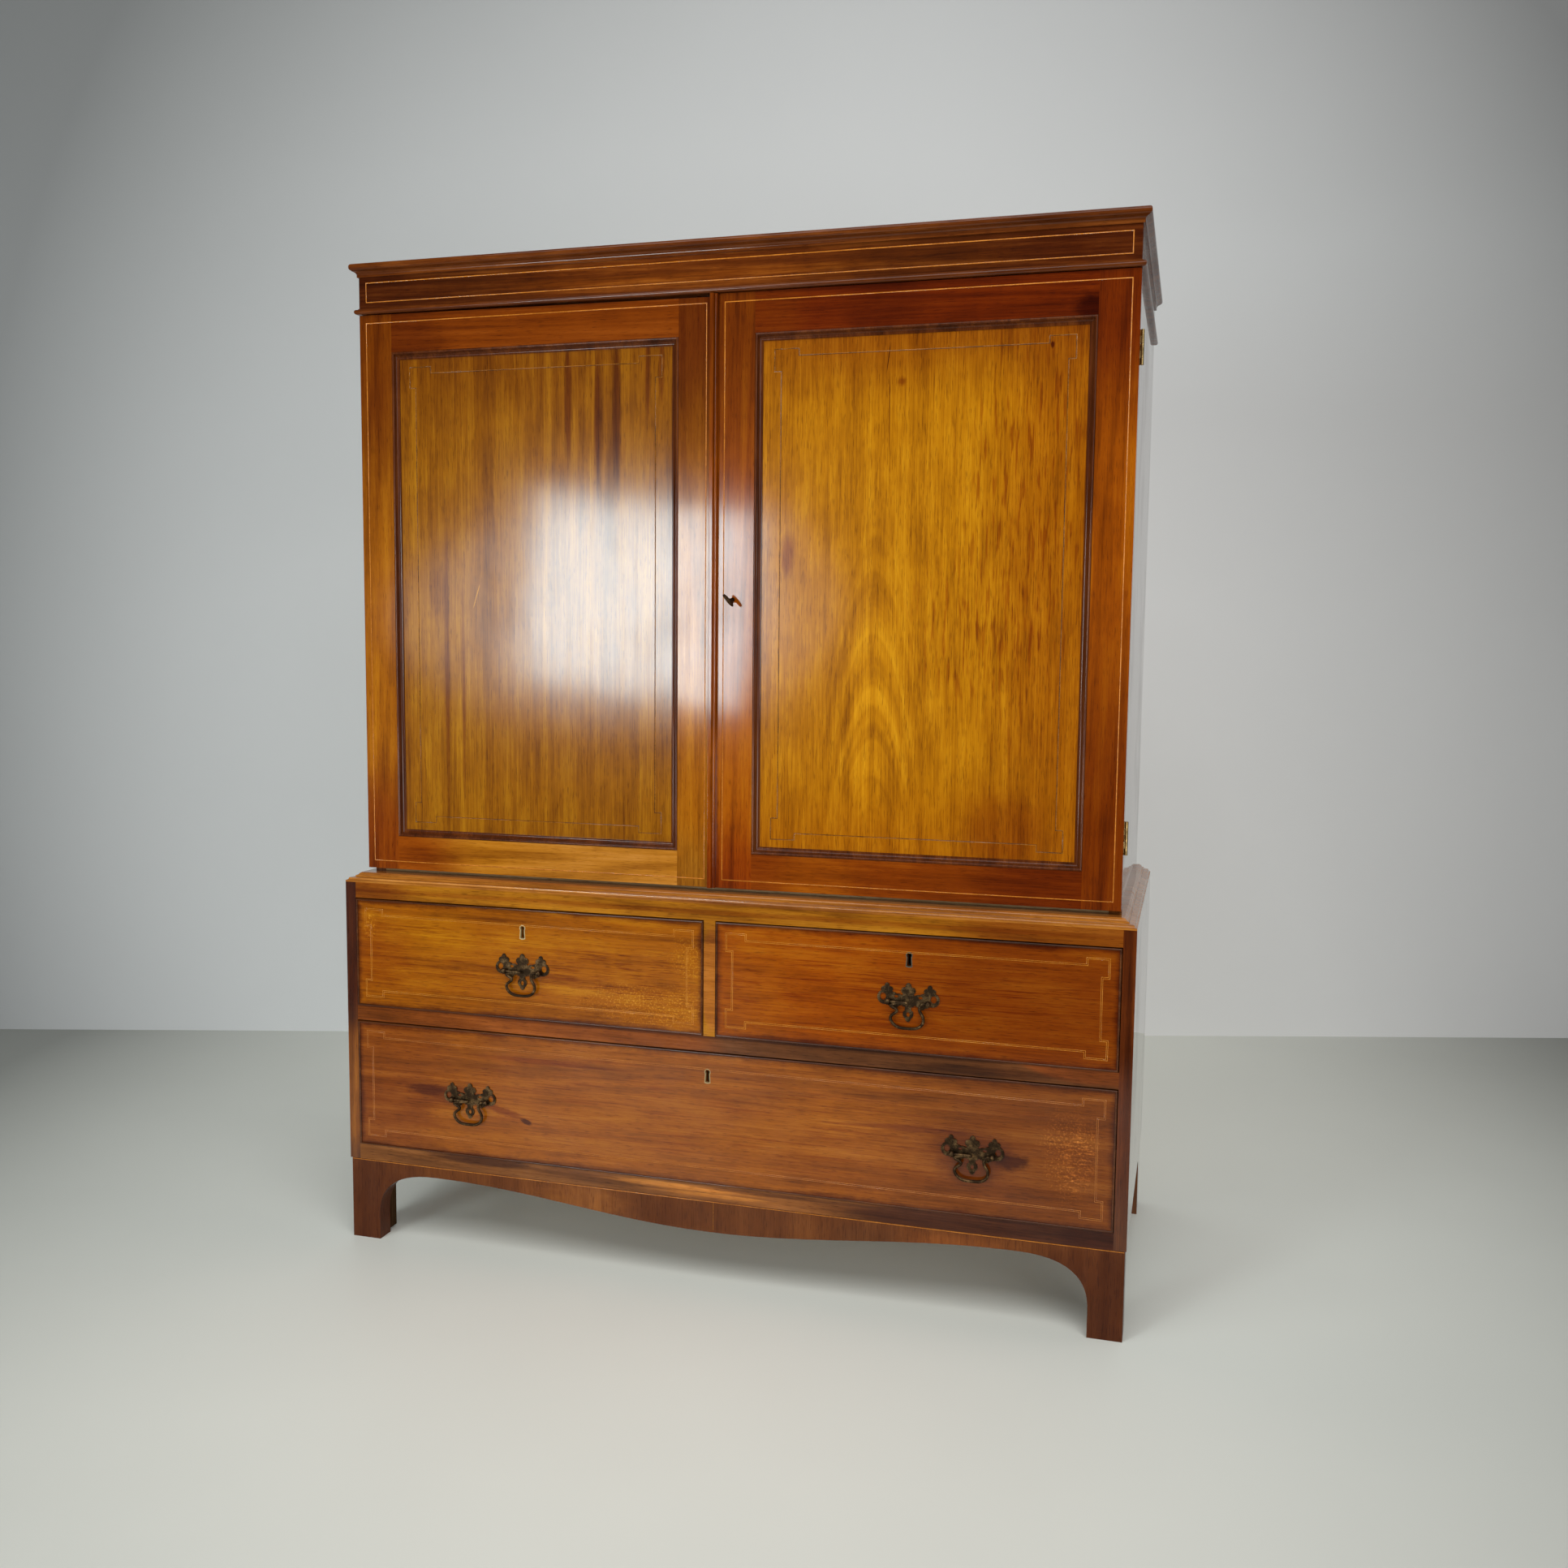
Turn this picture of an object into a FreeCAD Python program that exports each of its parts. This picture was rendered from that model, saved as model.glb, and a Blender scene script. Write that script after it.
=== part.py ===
"""Linen press: a two-door press of sliding trays standing on a base of drawers.

Frame: +Z up, the front faces -Y, +X is to the right as one faces the press.
The origin is at the centre of the bounding box, on the floor.  Sizes in mm.
"""
import FreeCAD, Part
import math
import os

V = FreeCAD.Vector

# ---------------------------------------------------------------- driving sizes
# overall
base_width = 1300.0
case_depth = 570.0
total_height = 1637.0
upper_inset = 25.0  # each side of the upper case stands in from the base by this much
upper_setback = 32.5  # the doors and frieze stand this far behind the base front

# boards
board = 19.0
back_board = 12.0
back_chamfer = 2.0
dust_board = 8.0
rail_depth = 60.0

# base, from the floor up
foot_height = 140.0
bottom_rail_height = 26.0
long_opening_height = 217.0
mid_rail_height = 25.0
short_opening_height = 185.0
top_rail_height = 26.0

# apron and feet
apron_thickness = 32.0
apron_inset = 2.0
apron_centre_height = 87.5
apron_peak_height = 120.0
apron_peak_share = 0.744  # peak position as a share of half the apron's width
apron_fullness = 2.6  # exponent of the arch's superellipse
foot_width = 52.0
foot_straight = 40.0
side_arch_height = 112.0
side_foot_width = 62.0
side_arch_radius = 46.0
foot_block = 28.0
foot_block_gap = 3.0  # the blocks stay this far above the floor and in front of the back

# waist moulding and upper case
waist_height = 14.5
waist_step_share = 0.45  # the lower step's height as a share of the moulding's
waist_slope = 1.0
door_lift = 6.5  # from the waist moulding to the doors
door_thickness = 22.0
hinge_gap = 0.5  # from the doors' backs to the case
bottom_board_lap = 6.0  # the doors lap the bottom board by this much
frieze_height = 80.3
door_top_gap = 1.2
left_door_drop = 4.0  # the left door's top falls by this towards the meeting edge
head_rail_lap = 16.0

# mouldings
crown_height = 21.0
crown_projection = 12.0
crown_nose_height = 11.0
crown_nose_overhang = 3.5
crown_fillet = 2.5
bead_height = 9.3
bead_projection = 6.5
bead_fillet = 1.5

# doors
outer_stile = 58.0
left_meeting_stile = 52.0
right_meeting_stile = 70.3
door_top_rail = 61.0
door_bottom_rail = 56.0
meeting_bead_x = -13.5  # left edge of the meeting bead and of the right door
meeting_bead_width = 12.0
meeting_bead_proud = 8.5
meeting_bead_round = 4.8
meeting_bead_quirk = 0.8
meeting_gap = 1.0
panel_thickness = 8.0
panel_recess = 6.0
panel_tongue = 8.0
panel_moulding_width = 12.0
panel_moulding_proud = 1.6
panel_moulding_bead = 4.3
panel_moulding_edge = 1.0
tenon_length = 34.0
tenon_thickness = 7.0
tenon_shoulder = 10.0

# hinges
hinge_length = 50.0
hinge_inset = 105.0  # from the door's end to the hinge's middle
hinge_leaf_width = 16.0
hinge_leaf_thickness = 1.6
hinge_barrel_radius = 2.5
hinge_pin_radius = 1.0
hinge_bore_clearance = 0.3
hinge_knuckles = 5
knuckle_gap = 0.3
barrel_clearance = 0.35

# lock and key
key_inset = 37.0
key_drop = 6.5
lock_height = 40.0
lock_thickness = 12.0
lock_recess = 6.0
lock_wall = 1.5
lock_reach = 16.0  # past the key's axis
bolt_throw = 9.0
bolt_height = 14.0
bolt_thickness = 6.0
keep_depth_gap = 2.0  # from the thrown bolt to the bottom of its mortise
bolt_clearance = 0.4
bolt_tail_gap = 2.0  # from the bolt's tail to the key's bit
key_radius = 2.0
key_bit_reach = 8.5
key_bit_thickness = 1.8
key_turned = 40.0  # degrees the key stands turned from its slot
key_bow_reach = 30.0
key_bow_half_length = 7.5
key_bow_half_width = 11.0
key_bow_bar = 3.2
key_bow_thickness = 2.8
key_clearance = 0.6
key_end_gap = 1.0  # from the lock's walls to the key's end and bit
keyhole_radius = 3.6
keyhole_rise = 1.2  # from the key's axis to the hole's centre

# flush bolts
flush_bolt_radius = 3.0
flush_bolt_length = 86.0
flush_bolt_inset = 25.0  # from the left door's meeting edge
flush_plate_width = 16.0
flush_plate_length = 74.0
flush_plate_thickness = 2.0
flush_plate_margin = 16.0  # from the door's end
flush_bolt_throw = 13.0
flush_bolt_hidden = 1.5
flush_knob_radius = 2.2
flush_knob_proud = 4.5
socket_depth = 14.0

# drawers
divider_thickness = 19.0
drawer_side_gap = 1.0
drawer_top_gap = 1.5
drawer_bottom_gap = 0.4
drawer_front_thickness = 20.0
drawer_board = 10.0
drawer_bottom_board = 7.0
drawer_bottom_height = 9.0
drawer_groove = 5.0
drawer_back_gap = 23.0  # from the drawers to the back boards
drawer_side_drop = 3.0
tail_depth = 12.0
tail_flare = 4.0
tail_pitch = 44.0
cockbead_width = 3.0
cockbead_depth = 8.0
cockbead_proud = 2.0
runner_width = 25.0
guide_height = 30.0
stop_height = 6.0
stop_length = 40.0
stop_thickness = 9.0
stop_play = 0.3

# drawer fittings
handle_centres = 62.0
handle_drop = 12.0
long_handle_share = 0.666  # handle position as a share of half the drawer's width
plate_thickness = 1.6
post_reach = 7.0  # from the drawer front to the bail's axis
post_head_radius = 4.8
post_stem_radius = 2.4
post_collar_radius = 5.6
post_collar_length = 1.0
bail_radius = 2.3
bail_pin_radius = 1.5
bail_pin_clearance = 0.3
nut_radius = 5.5
nut_length = 4.0
fitting_shift = -2.3  # keyholes and the short drawers' handles stand this far off the middle
keyhole_drop = 31.7  # from the drawer's top to the centre of the keyhole's round end
escutcheon_radius = 5.3
escutcheon_waist = 4.0
escutcheon_foot = 5.2
escutcheon_slot_length = 17.6
escutcheon_wall = 1.5
escutcheon_depth = 5.0
drawer_lock_width = 56.0
drawer_lock_height = 52.0
drawer_lock_depth = 9.0
drawer_lock_plate = 2.0

# trays
tray_count = 4
tray_board = 9.0
tray_side_height = 112.0
tray_front_height = 58.0
tray_sweep = 90.0
tray_side_gap = 2.0
tray_bottom_gap = 0.3
tray_front_gap = 20.0
tray_back_gap = 12.0
bearer_width = 14.0
bearer_height = 18.0

# ---------------------------------------------------------------- derived sizes
handle_reach = post_reach + post_head_radius
front_y = handle_reach - (case_depth + handle_reach) / 2
back_y = front_y + case_depth
inner_back_y = back_y - back_board

base_half = base_width / 2
base_inner = base_half - board
upper_half = base_half - upper_inset
upper_inner = upper_half - board

bottom_rail_z = foot_height
long_z = bottom_rail_z + bottom_rail_height
mid_rail_z = long_z + long_opening_height
short_z = mid_rail_z + mid_rail_height
top_rail_z = short_z + short_opening_height
base_top_z = top_rail_z + top_rail_height
waist_top_z = base_top_z + waist_height

door_z = waist_top_z + door_lift
frieze_z = total_height - frieze_height
door_top_z = frieze_z - door_top_gap
door_mid_z = (door_z + door_top_z) / 2
door_y = front_y + upper_setback
door_back_y = door_y + door_thickness
case_y = door_back_y + hinge_gap
floor_board_top_z = door_z + bottom_board_lap
top_board_z = total_height - board

right_door_x = meeting_bead_x
left_door_x = meeting_bead_x - meeting_gap
apron_half = base_half - apron_inset
apron_y = front_y + apron_inset
apron_back_y = apron_y + apron_thickness

hinge_x = upper_half + hinge_barrel_radius + barrel_clearance
hinge_y = door_back_y + hinge_gap / 2

key_x = right_door_x + key_inset
key_z = door_mid_z - key_drop
lock_y0 = door_y + lock_recess
lock_y1 = lock_y0 + lock_thickness
lock_x1 = key_x + lock_reach
bolt_y = (lock_y0 + lock_y1) / 2
bolt_x0 = right_door_x + bolt_clearance
bolt_x1 = key_x - key_bit_reach - bolt_tail_gap

flush_bolt_x = left_door_x - flush_bolt_inset
flush_bolt_y = door_back_y - flush_plate_thickness - flush_bolt_radius - bolt_clearance
flush_knob_distance = flush_plate_margin + flush_plate_length / 2 + flush_bolt_throw / 2
socket_radius = flush_bolt_radius + bolt_clearance

drawer_length = case_depth - back_board - drawer_back_gap
tray_y0 = case_y + tray_front_gap
tray_y1 = inner_back_y - tray_back_gap

quarter_bulge = (math.sqrt(2) - 1) / 2  # rise over chord of a quarter circle


# ---------------------------------------------------------------- shape helpers
def block(x0, x1, y0, y1, z0, z1):
    """Block between two opposite corners."""
    return Part.makeBox(x1 - x0, y1 - y0, z1 - z0, V(x0, y0, z0))


def rod(start, direction, length, radius):
    """Round bar from a point along a direction."""
    return Part.makeCylinder(radius, length, start, direction)


def mirrored(shape):
    """The shape's mirror image across the middle plane."""
    return shape.mirror(V(0, 0, 0), V(1, 0, 0))


def both_sides(shape):
    """The shape and its mirror image."""
    return [shape, mirrored(shape)]


def fused(shapes):
    """One shape made of overlapping or touching ones."""
    whole = shapes[0].multiFuse(shapes[1:])
    return whole.removeSplitter()


def outline(steps, place):
    """Face through steps of (u, v) for a line or (u, v, bulge) for an arc.

    A bulge is the arc's rise over its chord, positive to the left of travel.
    place turns (u, v) into a point in space.
    """
    edges = []
    for index, step in enumerate(steps):
        u0, v0 = steps[index - 1][:2]
        u1, v1 = step[:2]
        if len(step) == 3:
            mid_u = (u0 + u1) / 2 - step[2] * (v1 - v0)
            mid_v = (v0 + v1) / 2 + step[2] * (u1 - u0)
            arc = Part.Arc(place(u0, v0), place(mid_u, mid_v), place(u1, v1))
            edges.append(arc.toShape())
        else:
            edges.append(Part.makeLine(place(u0, v0), place(u1, v1)))
    return Part.Face(Part.Wire(edges))


def prism_along_y(points, y0, y1):
    """Prism over (x, z) steps between two depths."""
    face = outline(points, lambda x, z: V(x, y0, z))
    return face.extrude(V(0, y1 - y0, 0))


def prism_along_z(points, z0, z1):
    """Prism over (x, y) steps between two heights."""
    face = outline(points, lambda x, y: V(x, y, z0))
    return face.extrude(V(0, 0, z1 - z0))


def planted_run(steps, half_width, face_y, base_z, reach, shelf=0.0):
    """Three mitred lengths of moulding round a case: front, right and left.

    The profile's u runs out from the case's face and v up from base_z.  reach is
    its greatest u, and shelf the depth that the front length runs on inwards.
    """
    top = max(step[1] for step in steps)
    outer = half_width + reach
    front_plan = [(-outer, face_y - reach), (outer, face_y - reach), (half_width, face_y)]
    if shelf:
        front_plan.extend([(half_width, face_y + shelf), (-half_width, face_y + shelf)])
    front_plan.append((-half_width, face_y))
    side_plan = [
        (half_width, face_y),
        (outer, face_y - reach),
        (outer, back_y),
        (half_width, back_y),
    ]
    front_steps = steps
    if shelf:
        front_steps = [(-shelf, 0.0)] + steps[1:-1] + [(-shelf, steps[-1][1])]
    front = outline(front_steps, lambda u, v: V(-outer, face_y - u, base_z + v))
    front = front.extrude(V(2 * outer, 0, 0))
    front = front.common(prism_along_z(front_plan, base_z, base_z + top))
    side = outline(steps, lambda u, v: V(half_width + u, face_y - reach, base_z + v))
    side = side.extrude(V(0, back_y - face_y + reach, 0))
    side = side.common(prism_along_z(side_plan, base_z, base_z + top))
    return [front] + both_sides(side)


def mitred_frame(steps, x0, x1, z0, z1, face_y):
    """Four mitred strips inside a rectangle.

    The profile's u runs inwards from the rectangle's edge, v forwards from face_y.
    """
    width = max(step[0] for step in steps)
    rise = max(step[1] for step in steps) + width
    sink = min(step[1] for step in steps)
    y0, y1 = face_y - rise, face_y - sink
    low = outline(steps, lambda u, v: V(x0, face_y - v, z0 + u)).extrude(V(x1 - x0, 0, 0))
    high = outline(steps, lambda u, v: V(x0, face_y - v, z1 - u)).extrude(V(x1 - x0, 0, 0))
    left = outline(steps, lambda u, v: V(x0 + u, face_y - v, z0)).extrude(V(0, 0, z1 - z0))
    right = outline(steps, lambda u, v: V(x1 - u, face_y - v, z0)).extrude(V(0, 0, z1 - z0))
    in_x0, in_x1, in_z0, in_z1 = x0 + width, x1 - width, z0 + width, z1 - width
    plans = [
        (low, [(x0, z0), (x1, z0), (in_x1, in_z0), (in_x0, in_z0)]),
        (high, [(x0, z1), (x1, z1), (in_x1, in_z1), (in_x0, in_z1)]),
        (left, [(x0, z0), (x0, z1), (in_x0, in_z1), (in_x0, in_z0)]),
        (right, [(x1, z0), (x1, z1), (in_x1, in_z1), (in_x1, in_z0)]),
    ]
    return [strip.common(prism_along_y(plan, y0, y1)) for strip, plan in plans]


def save(node, shapes):
    """Write a node's solids as one STEP file."""
    solids = []
    for shape in shapes:
        solids.extend(shape.Solids)
    Part.makeCompound(solids).exportStep("parts/" + node + ".step")


# ---------------------------------------------------------------- base
def superellipse(share):
    """Height share of the arch at a share of its half-span."""
    return (1 - share**apron_fullness) ** (1 / apron_fullness)


def apron_edge_points():
    """Lower edge of the front apron from the right foot's arch to the left one's."""
    peak_x = apron_peak_share * apron_half
    arch_span = apron_half - foot_width - peak_x
    arch_rise = apron_peak_height - foot_straight
    arch_steps = 9
    wave_steps = 8
    half = []
    for step in range(arch_steps):
        angle = math.pi / 2 * step / arch_steps
        share = math.cos(angle)
        height = foot_straight + arch_rise * superellipse(share)
        half.append((peak_x + arch_span * share, height))
    for step in range(wave_steps + 1):
        share = 1 - step / wave_steps
        wave = (1 - math.cos(math.pi * share)) / 2
        height = apron_centre_height + (apron_peak_height - apron_centre_height) * wave
        half.append((peak_x * share, height))
    other = [(-x, z) for x, z in reversed(half[:-1])]
    return half + other


def front_apron():
    """Serpentine apron and its two bracket feet, cut from one board."""
    inner = apron_half - foot_width
    points = apron_edge_points()
    curve = Part.BSplineCurve()
    curve.interpolate([V(x, apron_y, z) for x, z in points])
    corners = [
        V(-inner, apron_y, foot_straight),
        V(-inner, apron_y, 0),
        V(-apron_half, apron_y, 0),
        V(-apron_half, apron_y, foot_height),
        V(apron_half, apron_y, foot_height),
        V(apron_half, apron_y, 0),
        V(inner, apron_y, 0),
        V(inner, apron_y, foot_straight),
    ]
    edges = [curve.toShape()]
    for start, end in zip(corners, corners[1:]):
        edges.append(Part.makeLine(start, end))
    face = Part.Face(Part.Wire(Part.__sortEdges__(edges)))
    return face.extrude(V(0, apron_thickness, 0))


def side_apron():
    """Right-hand bracket board with an arch between its two feet."""
    arch_y0 = front_y + side_foot_width
    arch_y1 = back_y - side_foot_width
    spring_z = side_arch_height - side_arch_radius
    steps = [
        (apron_back_y, 0.0),
        (arch_y0, 0.0),
        (arch_y0, spring_z),
        (arch_y0 + side_arch_radius, side_arch_height, quarter_bulge),
        (arch_y1 - side_arch_radius, side_arch_height),
        (arch_y1, spring_z, quarter_bulge),
        (arch_y1, 0.0),
        (back_y, 0.0),
        (back_y, foot_height),
        (apron_back_y, foot_height),
    ]
    face = outline(steps, lambda y, z: V(apron_half - board, y, z))
    return face.extrude(V(board, 0, 0))


def foot_blocks():
    """Glue blocks in the angle behind each foot."""
    block_x1 = apron_half - board
    block_x0 = block_x1 - foot_block
    rear_y1 = back_y - foot_block_gap
    front = block(
        block_x0, block_x1, apron_back_y, apron_back_y + foot_block, foot_block_gap, foot_height
    )
    rear = block(block_x0, block_x1, rear_y1 - foot_block, rear_y1, foot_block_gap, foot_height)
    return both_sides(front) + both_sides(rear)


def base_runners():
    """Runners, kickers, centre guide and drawer stops of the base."""
    y0 = front_y + rail_depth
    y1 = inner_back_y
    out = base_inner
    low_z0 = long_z - board
    side_low = block(out - runner_width, out, y0, y1, low_z0, long_z)
    side_mid = block(out - runner_width, out, y0, y1, mid_rail_z, short_z)
    side_top = block(out - runner_width, out, y0, y1, top_rail_z, base_top_z - board)
    centre = block(-runner_width, runner_width, y0, y1, mid_rail_z, short_z)
    guide_half = divider_thickness / 2
    guide = block(-guide_half, guide_half, y0, y1, short_z, short_z + guide_height)
    centre_top = block(-runner_width, runner_width, y0, y1, top_rail_z, base_top_z - board)
    stop_y = front_y + drawer_front_thickness + stop_play
    stop_x = base_inner - 4 * runner_width
    stops = []
    for stop_z in (long_z, short_z):
        stop = block(
            stop_x - stop_length, stop_x, stop_y, stop_y + stop_thickness, stop_z, stop_z + stop_height
        )
        stops.extend(both_sides(stop))
    inner_x = guide_half + 4 * runner_width
    inner_stop = block(
        inner_x, inner_x + stop_length, stop_y, stop_y + stop_thickness, short_z, short_z + stop_height
    )
    runners = both_sides(side_low) + both_sides(side_mid) + both_sides(side_top)
    return runners + [centre, guide, centre_top] + stops + both_sides(inner_stop)


def dust_boards():
    """Thin boards that close the spaces under the drawers."""
    y0 = front_y + rail_depth
    out = base_inner - runner_width
    mid_z0 = (mid_rail_z + short_z - dust_board) / 2
    low_z0 = long_z - board + (board - dust_board) / 2
    mid = block(runner_width, out, y0, inner_back_y, mid_z0, mid_z0 + dust_board)
    low = block(-out, out, y0, inner_back_y, low_z0, low_z0 + dust_board)
    return both_sides(mid) + [low]


def waist_moulding():
    """Stepped moulding planted on the base round the foot of the upper case."""
    width = upper_inset
    low_z = waist_height * waist_step_share
    low_round = low_z * 0.6
    upper_u = width * 0.55
    riser_z = low_z + 0.17 * waist_height
    top_round_z = 0.86 * waist_height
    steps = [
        (0.0, 0.0),
        (width, 0.0),
        (width, low_z - low_round),
        (width - low_round, low_z, quarter_bulge),
        (upper_u, low_z + waist_slope),
        (upper_u - waist_slope, riser_z + waist_slope),
        (upper_u - 0.2 * width, top_round_z, quarter_bulge),
        (upper_u - 0.32 * width, waist_height),
        (0.0, waist_height),
    ]
    shelf = case_y - front_y - upper_inset
    face_y = front_y + upper_inset
    front, right, left = planted_run(steps, upper_half, face_y, base_top_z, width, shelf)
    socket = rod(V(flush_bolt_x, flush_bolt_y, waist_top_z), V(0, 0, -1), socket_depth, socket_radius)
    return [front.cut(socket), right, left]


# ---------------------------------------------------------------- upper case
def back_boards(half_width, z0, z1, count):
    """Upright back boards, each with chamfered meeting edges."""
    pitch = 2 * half_width / count
    boards = []
    for index in range(count):
        x0 = -half_width + index * pitch
        x1 = x0 + pitch
        plan = [
            (x0, inner_back_y),
            (x1, inner_back_y),
            (x1, back_y - back_chamfer),
            (x1 - back_chamfer, back_y),
            (x0 + back_chamfer, back_y),
            (x0, back_y - back_chamfer),
        ]
        boards.append(prism_along_z(plan, z0, z1))
    return boards


def frieze():
    """Frieze board and the head rail behind it that the doors close against."""
    face = block(-upper_half, upper_half, door_y, case_y, frieze_z, top_board_z)
    socket = rod(V(flush_bolt_x, flush_bolt_y, frieze_z), V(0, 0, 1), socket_depth, socket_radius)
    head_z = frieze_z - head_rail_lap
    head = block(-upper_inner, upper_inner, case_y, case_y + board, head_z, top_board_z)
    return [face.cut(socket), head]


def crown_moulding():
    """Cornice: a fillet, a cove and a rounded nose."""
    cove_top = crown_height - crown_nose_height
    cove_u = crown_projection - crown_nose_overhang
    top_u = crown_projection - 0.4 * crown_nose_height
    steps = [
        (0.0, 0.0),
        (crown_fillet, 0.0),
        (crown_fillet, crown_fillet),
        (cove_u, cove_top - 0.3 * crown_fillet, quarter_bulge),
        (cove_u, cove_top),
        (crown_projection, crown_height - crown_nose_height / 2, -quarter_bulge),
        (top_u, crown_height, -quarter_bulge),
        (0.0, crown_height),
    ]
    base_z = total_height - crown_height
    return planted_run(steps, upper_half, door_y, base_z, crown_projection)


def frieze_bead():
    """Astragal bead planted along the frieze's lower edge."""
    chord = bead_height - bead_fillet
    bulge = (bead_projection - bead_fillet) / chord
    steps = [
        (0.0, 0.0),
        (bead_fillet, 0.0),
        (bead_fillet, chord, -bulge),
        (bead_fillet, bead_height),
        (0.0, bead_height),
    ]
    return planted_run(steps, upper_half, door_y, frieze_z, bead_projection)


def bearers():
    """Bearers on the case sides, a pair for each tray."""
    pieces = []
    for index in range(tray_count):
        top = tray_floor_z(index) - tray_bottom_gap
        bearer = block(
            upper_inner - bearer_width, upper_inner, tray_y0, inner_back_y, top - bearer_height, top
        )
        pieces.extend(both_sides(bearer))
    return pieces


def tray_floor_z(index):
    """Height of a tray's underside, counted from the lowest."""
    first = floor_board_top_z + bearer_height + tray_bottom_gap
    pitch = (frieze_z - head_rail_lap - first) / tray_count
    return first + index * pitch


def tray(index):
    """Sliding tray: bottom, low front, back, and sides that sweep down to the front."""
    half = upper_inner - tray_side_gap
    z0 = tray_floor_z(index)
    side_top = z0 + tray_side_height
    front_top = z0 + tray_front_height
    bottom_top = z0 + tray_board
    fall = tray_side_height - tray_front_height
    steps = [
        (tray_y0, z0),
        (tray_y1, z0),
        (tray_y1, side_top),
        (tray_y0 + tray_board + tray_sweep, side_top),
        (tray_y0 + tray_board + tray_sweep / 2, side_top - fall / 2, 0.12),
        (tray_y0 + tray_board, front_top, -0.12),
        (tray_y0, front_top),
    ]
    side = outline(steps, lambda y, z: V(half - tray_board, y, z)).extrude(V(tray_board, 0, 0))
    inner = half - tray_board
    bottom = block(-inner, inner, tray_y0 + tray_board, tray_y1 - tray_board, z0, bottom_top)
    front = block(-inner, inner, tray_y0, tray_y0 + tray_board, z0, front_top)
    back = block(-inner, inner, tray_y1 - tray_board, tray_y1, z0, side_top)
    return both_sides(side) + [bottom, front, back]


# ---------------------------------------------------------------- hinges
def hinge_leaf(mid_z, leaf_y0, first_knuckle):
    """One leaf of a butt hinge on the right side, with every second knuckle."""
    z0 = mid_z - hinge_length / 2
    step = hinge_length / hinge_knuckles
    pieces = [
        block(
            upper_half - hinge_leaf_width,
            upper_half,
            leaf_y0,
            leaf_y0 + hinge_leaf_thickness,
            z0,
            z0 + hinge_length,
        )
    ]
    for knuckle in range(first_knuckle, hinge_knuckles, 2):
        low = z0 + knuckle * step + knuckle_gap / 2
        high = low + step - knuckle_gap
        tongue = block(upper_half, hinge_x, leaf_y0, leaf_y0 + hinge_leaf_thickness, low, high)
        barrel = rod(V(hinge_x, hinge_y, low), V(0, 0, 1), high - low, hinge_barrel_radius)
        pieces.extend([tongue, barrel])
    return pieces


def hinge_pin(mid_z, radius):
    """Pin or bore along a hinge's whole length."""
    return rod(V(hinge_x, hinge_y, mid_z - hinge_length / 2), V(0, 0, 1), hinge_length, radius)


def case_leaf(mid_z):
    """Case leaf with its knuckles and the pin."""
    return fused(hinge_leaf(mid_z, case_y, 0) + [hinge_pin(mid_z, hinge_pin_radius)])


def door_leaf(mid_z):
    """Door leaf with bored knuckles."""
    leaf = fused(hinge_leaf(mid_z, door_back_y - hinge_leaf_thickness, 1))
    return leaf.cut(hinge_pin(mid_z, hinge_pin_radius + hinge_bore_clearance))


hinge_heights = [door_z + hinge_inset, door_top_z - hinge_inset]
case_leaves = [case_leaf(height) for height in hinge_heights]
door_leaves = [door_leaf(height) for height in hinge_heights]


# ---------------------------------------------------------------- doors
def door_frame(x0, x1, left_stile, right_stile):
    """Stiles, tenoned rails and panel of a door between two edges."""
    in_x0, in_x1 = x0 + left_stile, x1 - right_stile
    in_z0, in_z1 = door_z + door_bottom_rail, door_top_z - door_top_rail
    panel_y0 = door_y + panel_recess
    panel = block(
        in_x0 - panel_tongue,
        in_x1 + panel_tongue,
        panel_y0,
        panel_y0 + panel_thickness,
        in_z0 - panel_tongue,
        in_z1 + panel_tongue,
    )
    tenon_y0 = panel_y0 + (panel_thickness - tenon_thickness) / 2
    tenon_y1 = tenon_y0 + tenon_thickness
    rails = []
    tenons = []
    for z0, z1 in ((door_z, in_z0), (in_z1, door_top_z)):
        tenon_z0 = z0 + tenon_shoulder
        tenon_z1 = z1 - tenon_shoulder
        left = block(in_x0 - tenon_length, in_x0, tenon_y0, tenon_y1, tenon_z0, tenon_z1)
        right = block(in_x1, in_x1 + tenon_length, tenon_y0, tenon_y1, tenon_z0, tenon_z1)
        body = block(in_x0, in_x1, door_y, door_back_y, z0, z1)
        rails.append(fused([body, left, right]).cut(panel))
        tenons.extend([left, right])
    stiles = [
        block(x0, in_x0, door_y, door_back_y, door_z, door_top_z),
        block(in_x1, x1, door_y, door_back_y, door_z, door_top_z),
    ]
    hollow = panel.multiFuse(tenons)
    stiles = [stile.cut(hollow) for stile in stiles]
    return stiles, rails, panel, (in_x0, in_x1, in_z0, in_z1)


def panel_moulding(opening):
    """Beaded moulding mitred round a door panel."""
    width = panel_moulding_width
    bead = panel_moulding_bead
    edge = panel_moulding_edge
    spring_v = panel_moulding_proud - bead / 2
    cove_v = -panel_moulding_proud
    steps = [
        (0.0, -panel_recess),
        (0.0, spring_v),
        (bead, spring_v, 0.5),
        (bead, cove_v),
        (bead + edge, cove_v),
        (width - edge, edge - panel_recess, -0.18),
        (width, edge - panel_recess),
        (width, -panel_recess),
    ]
    return mitred_frame(steps, *opening, door_y)


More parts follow.
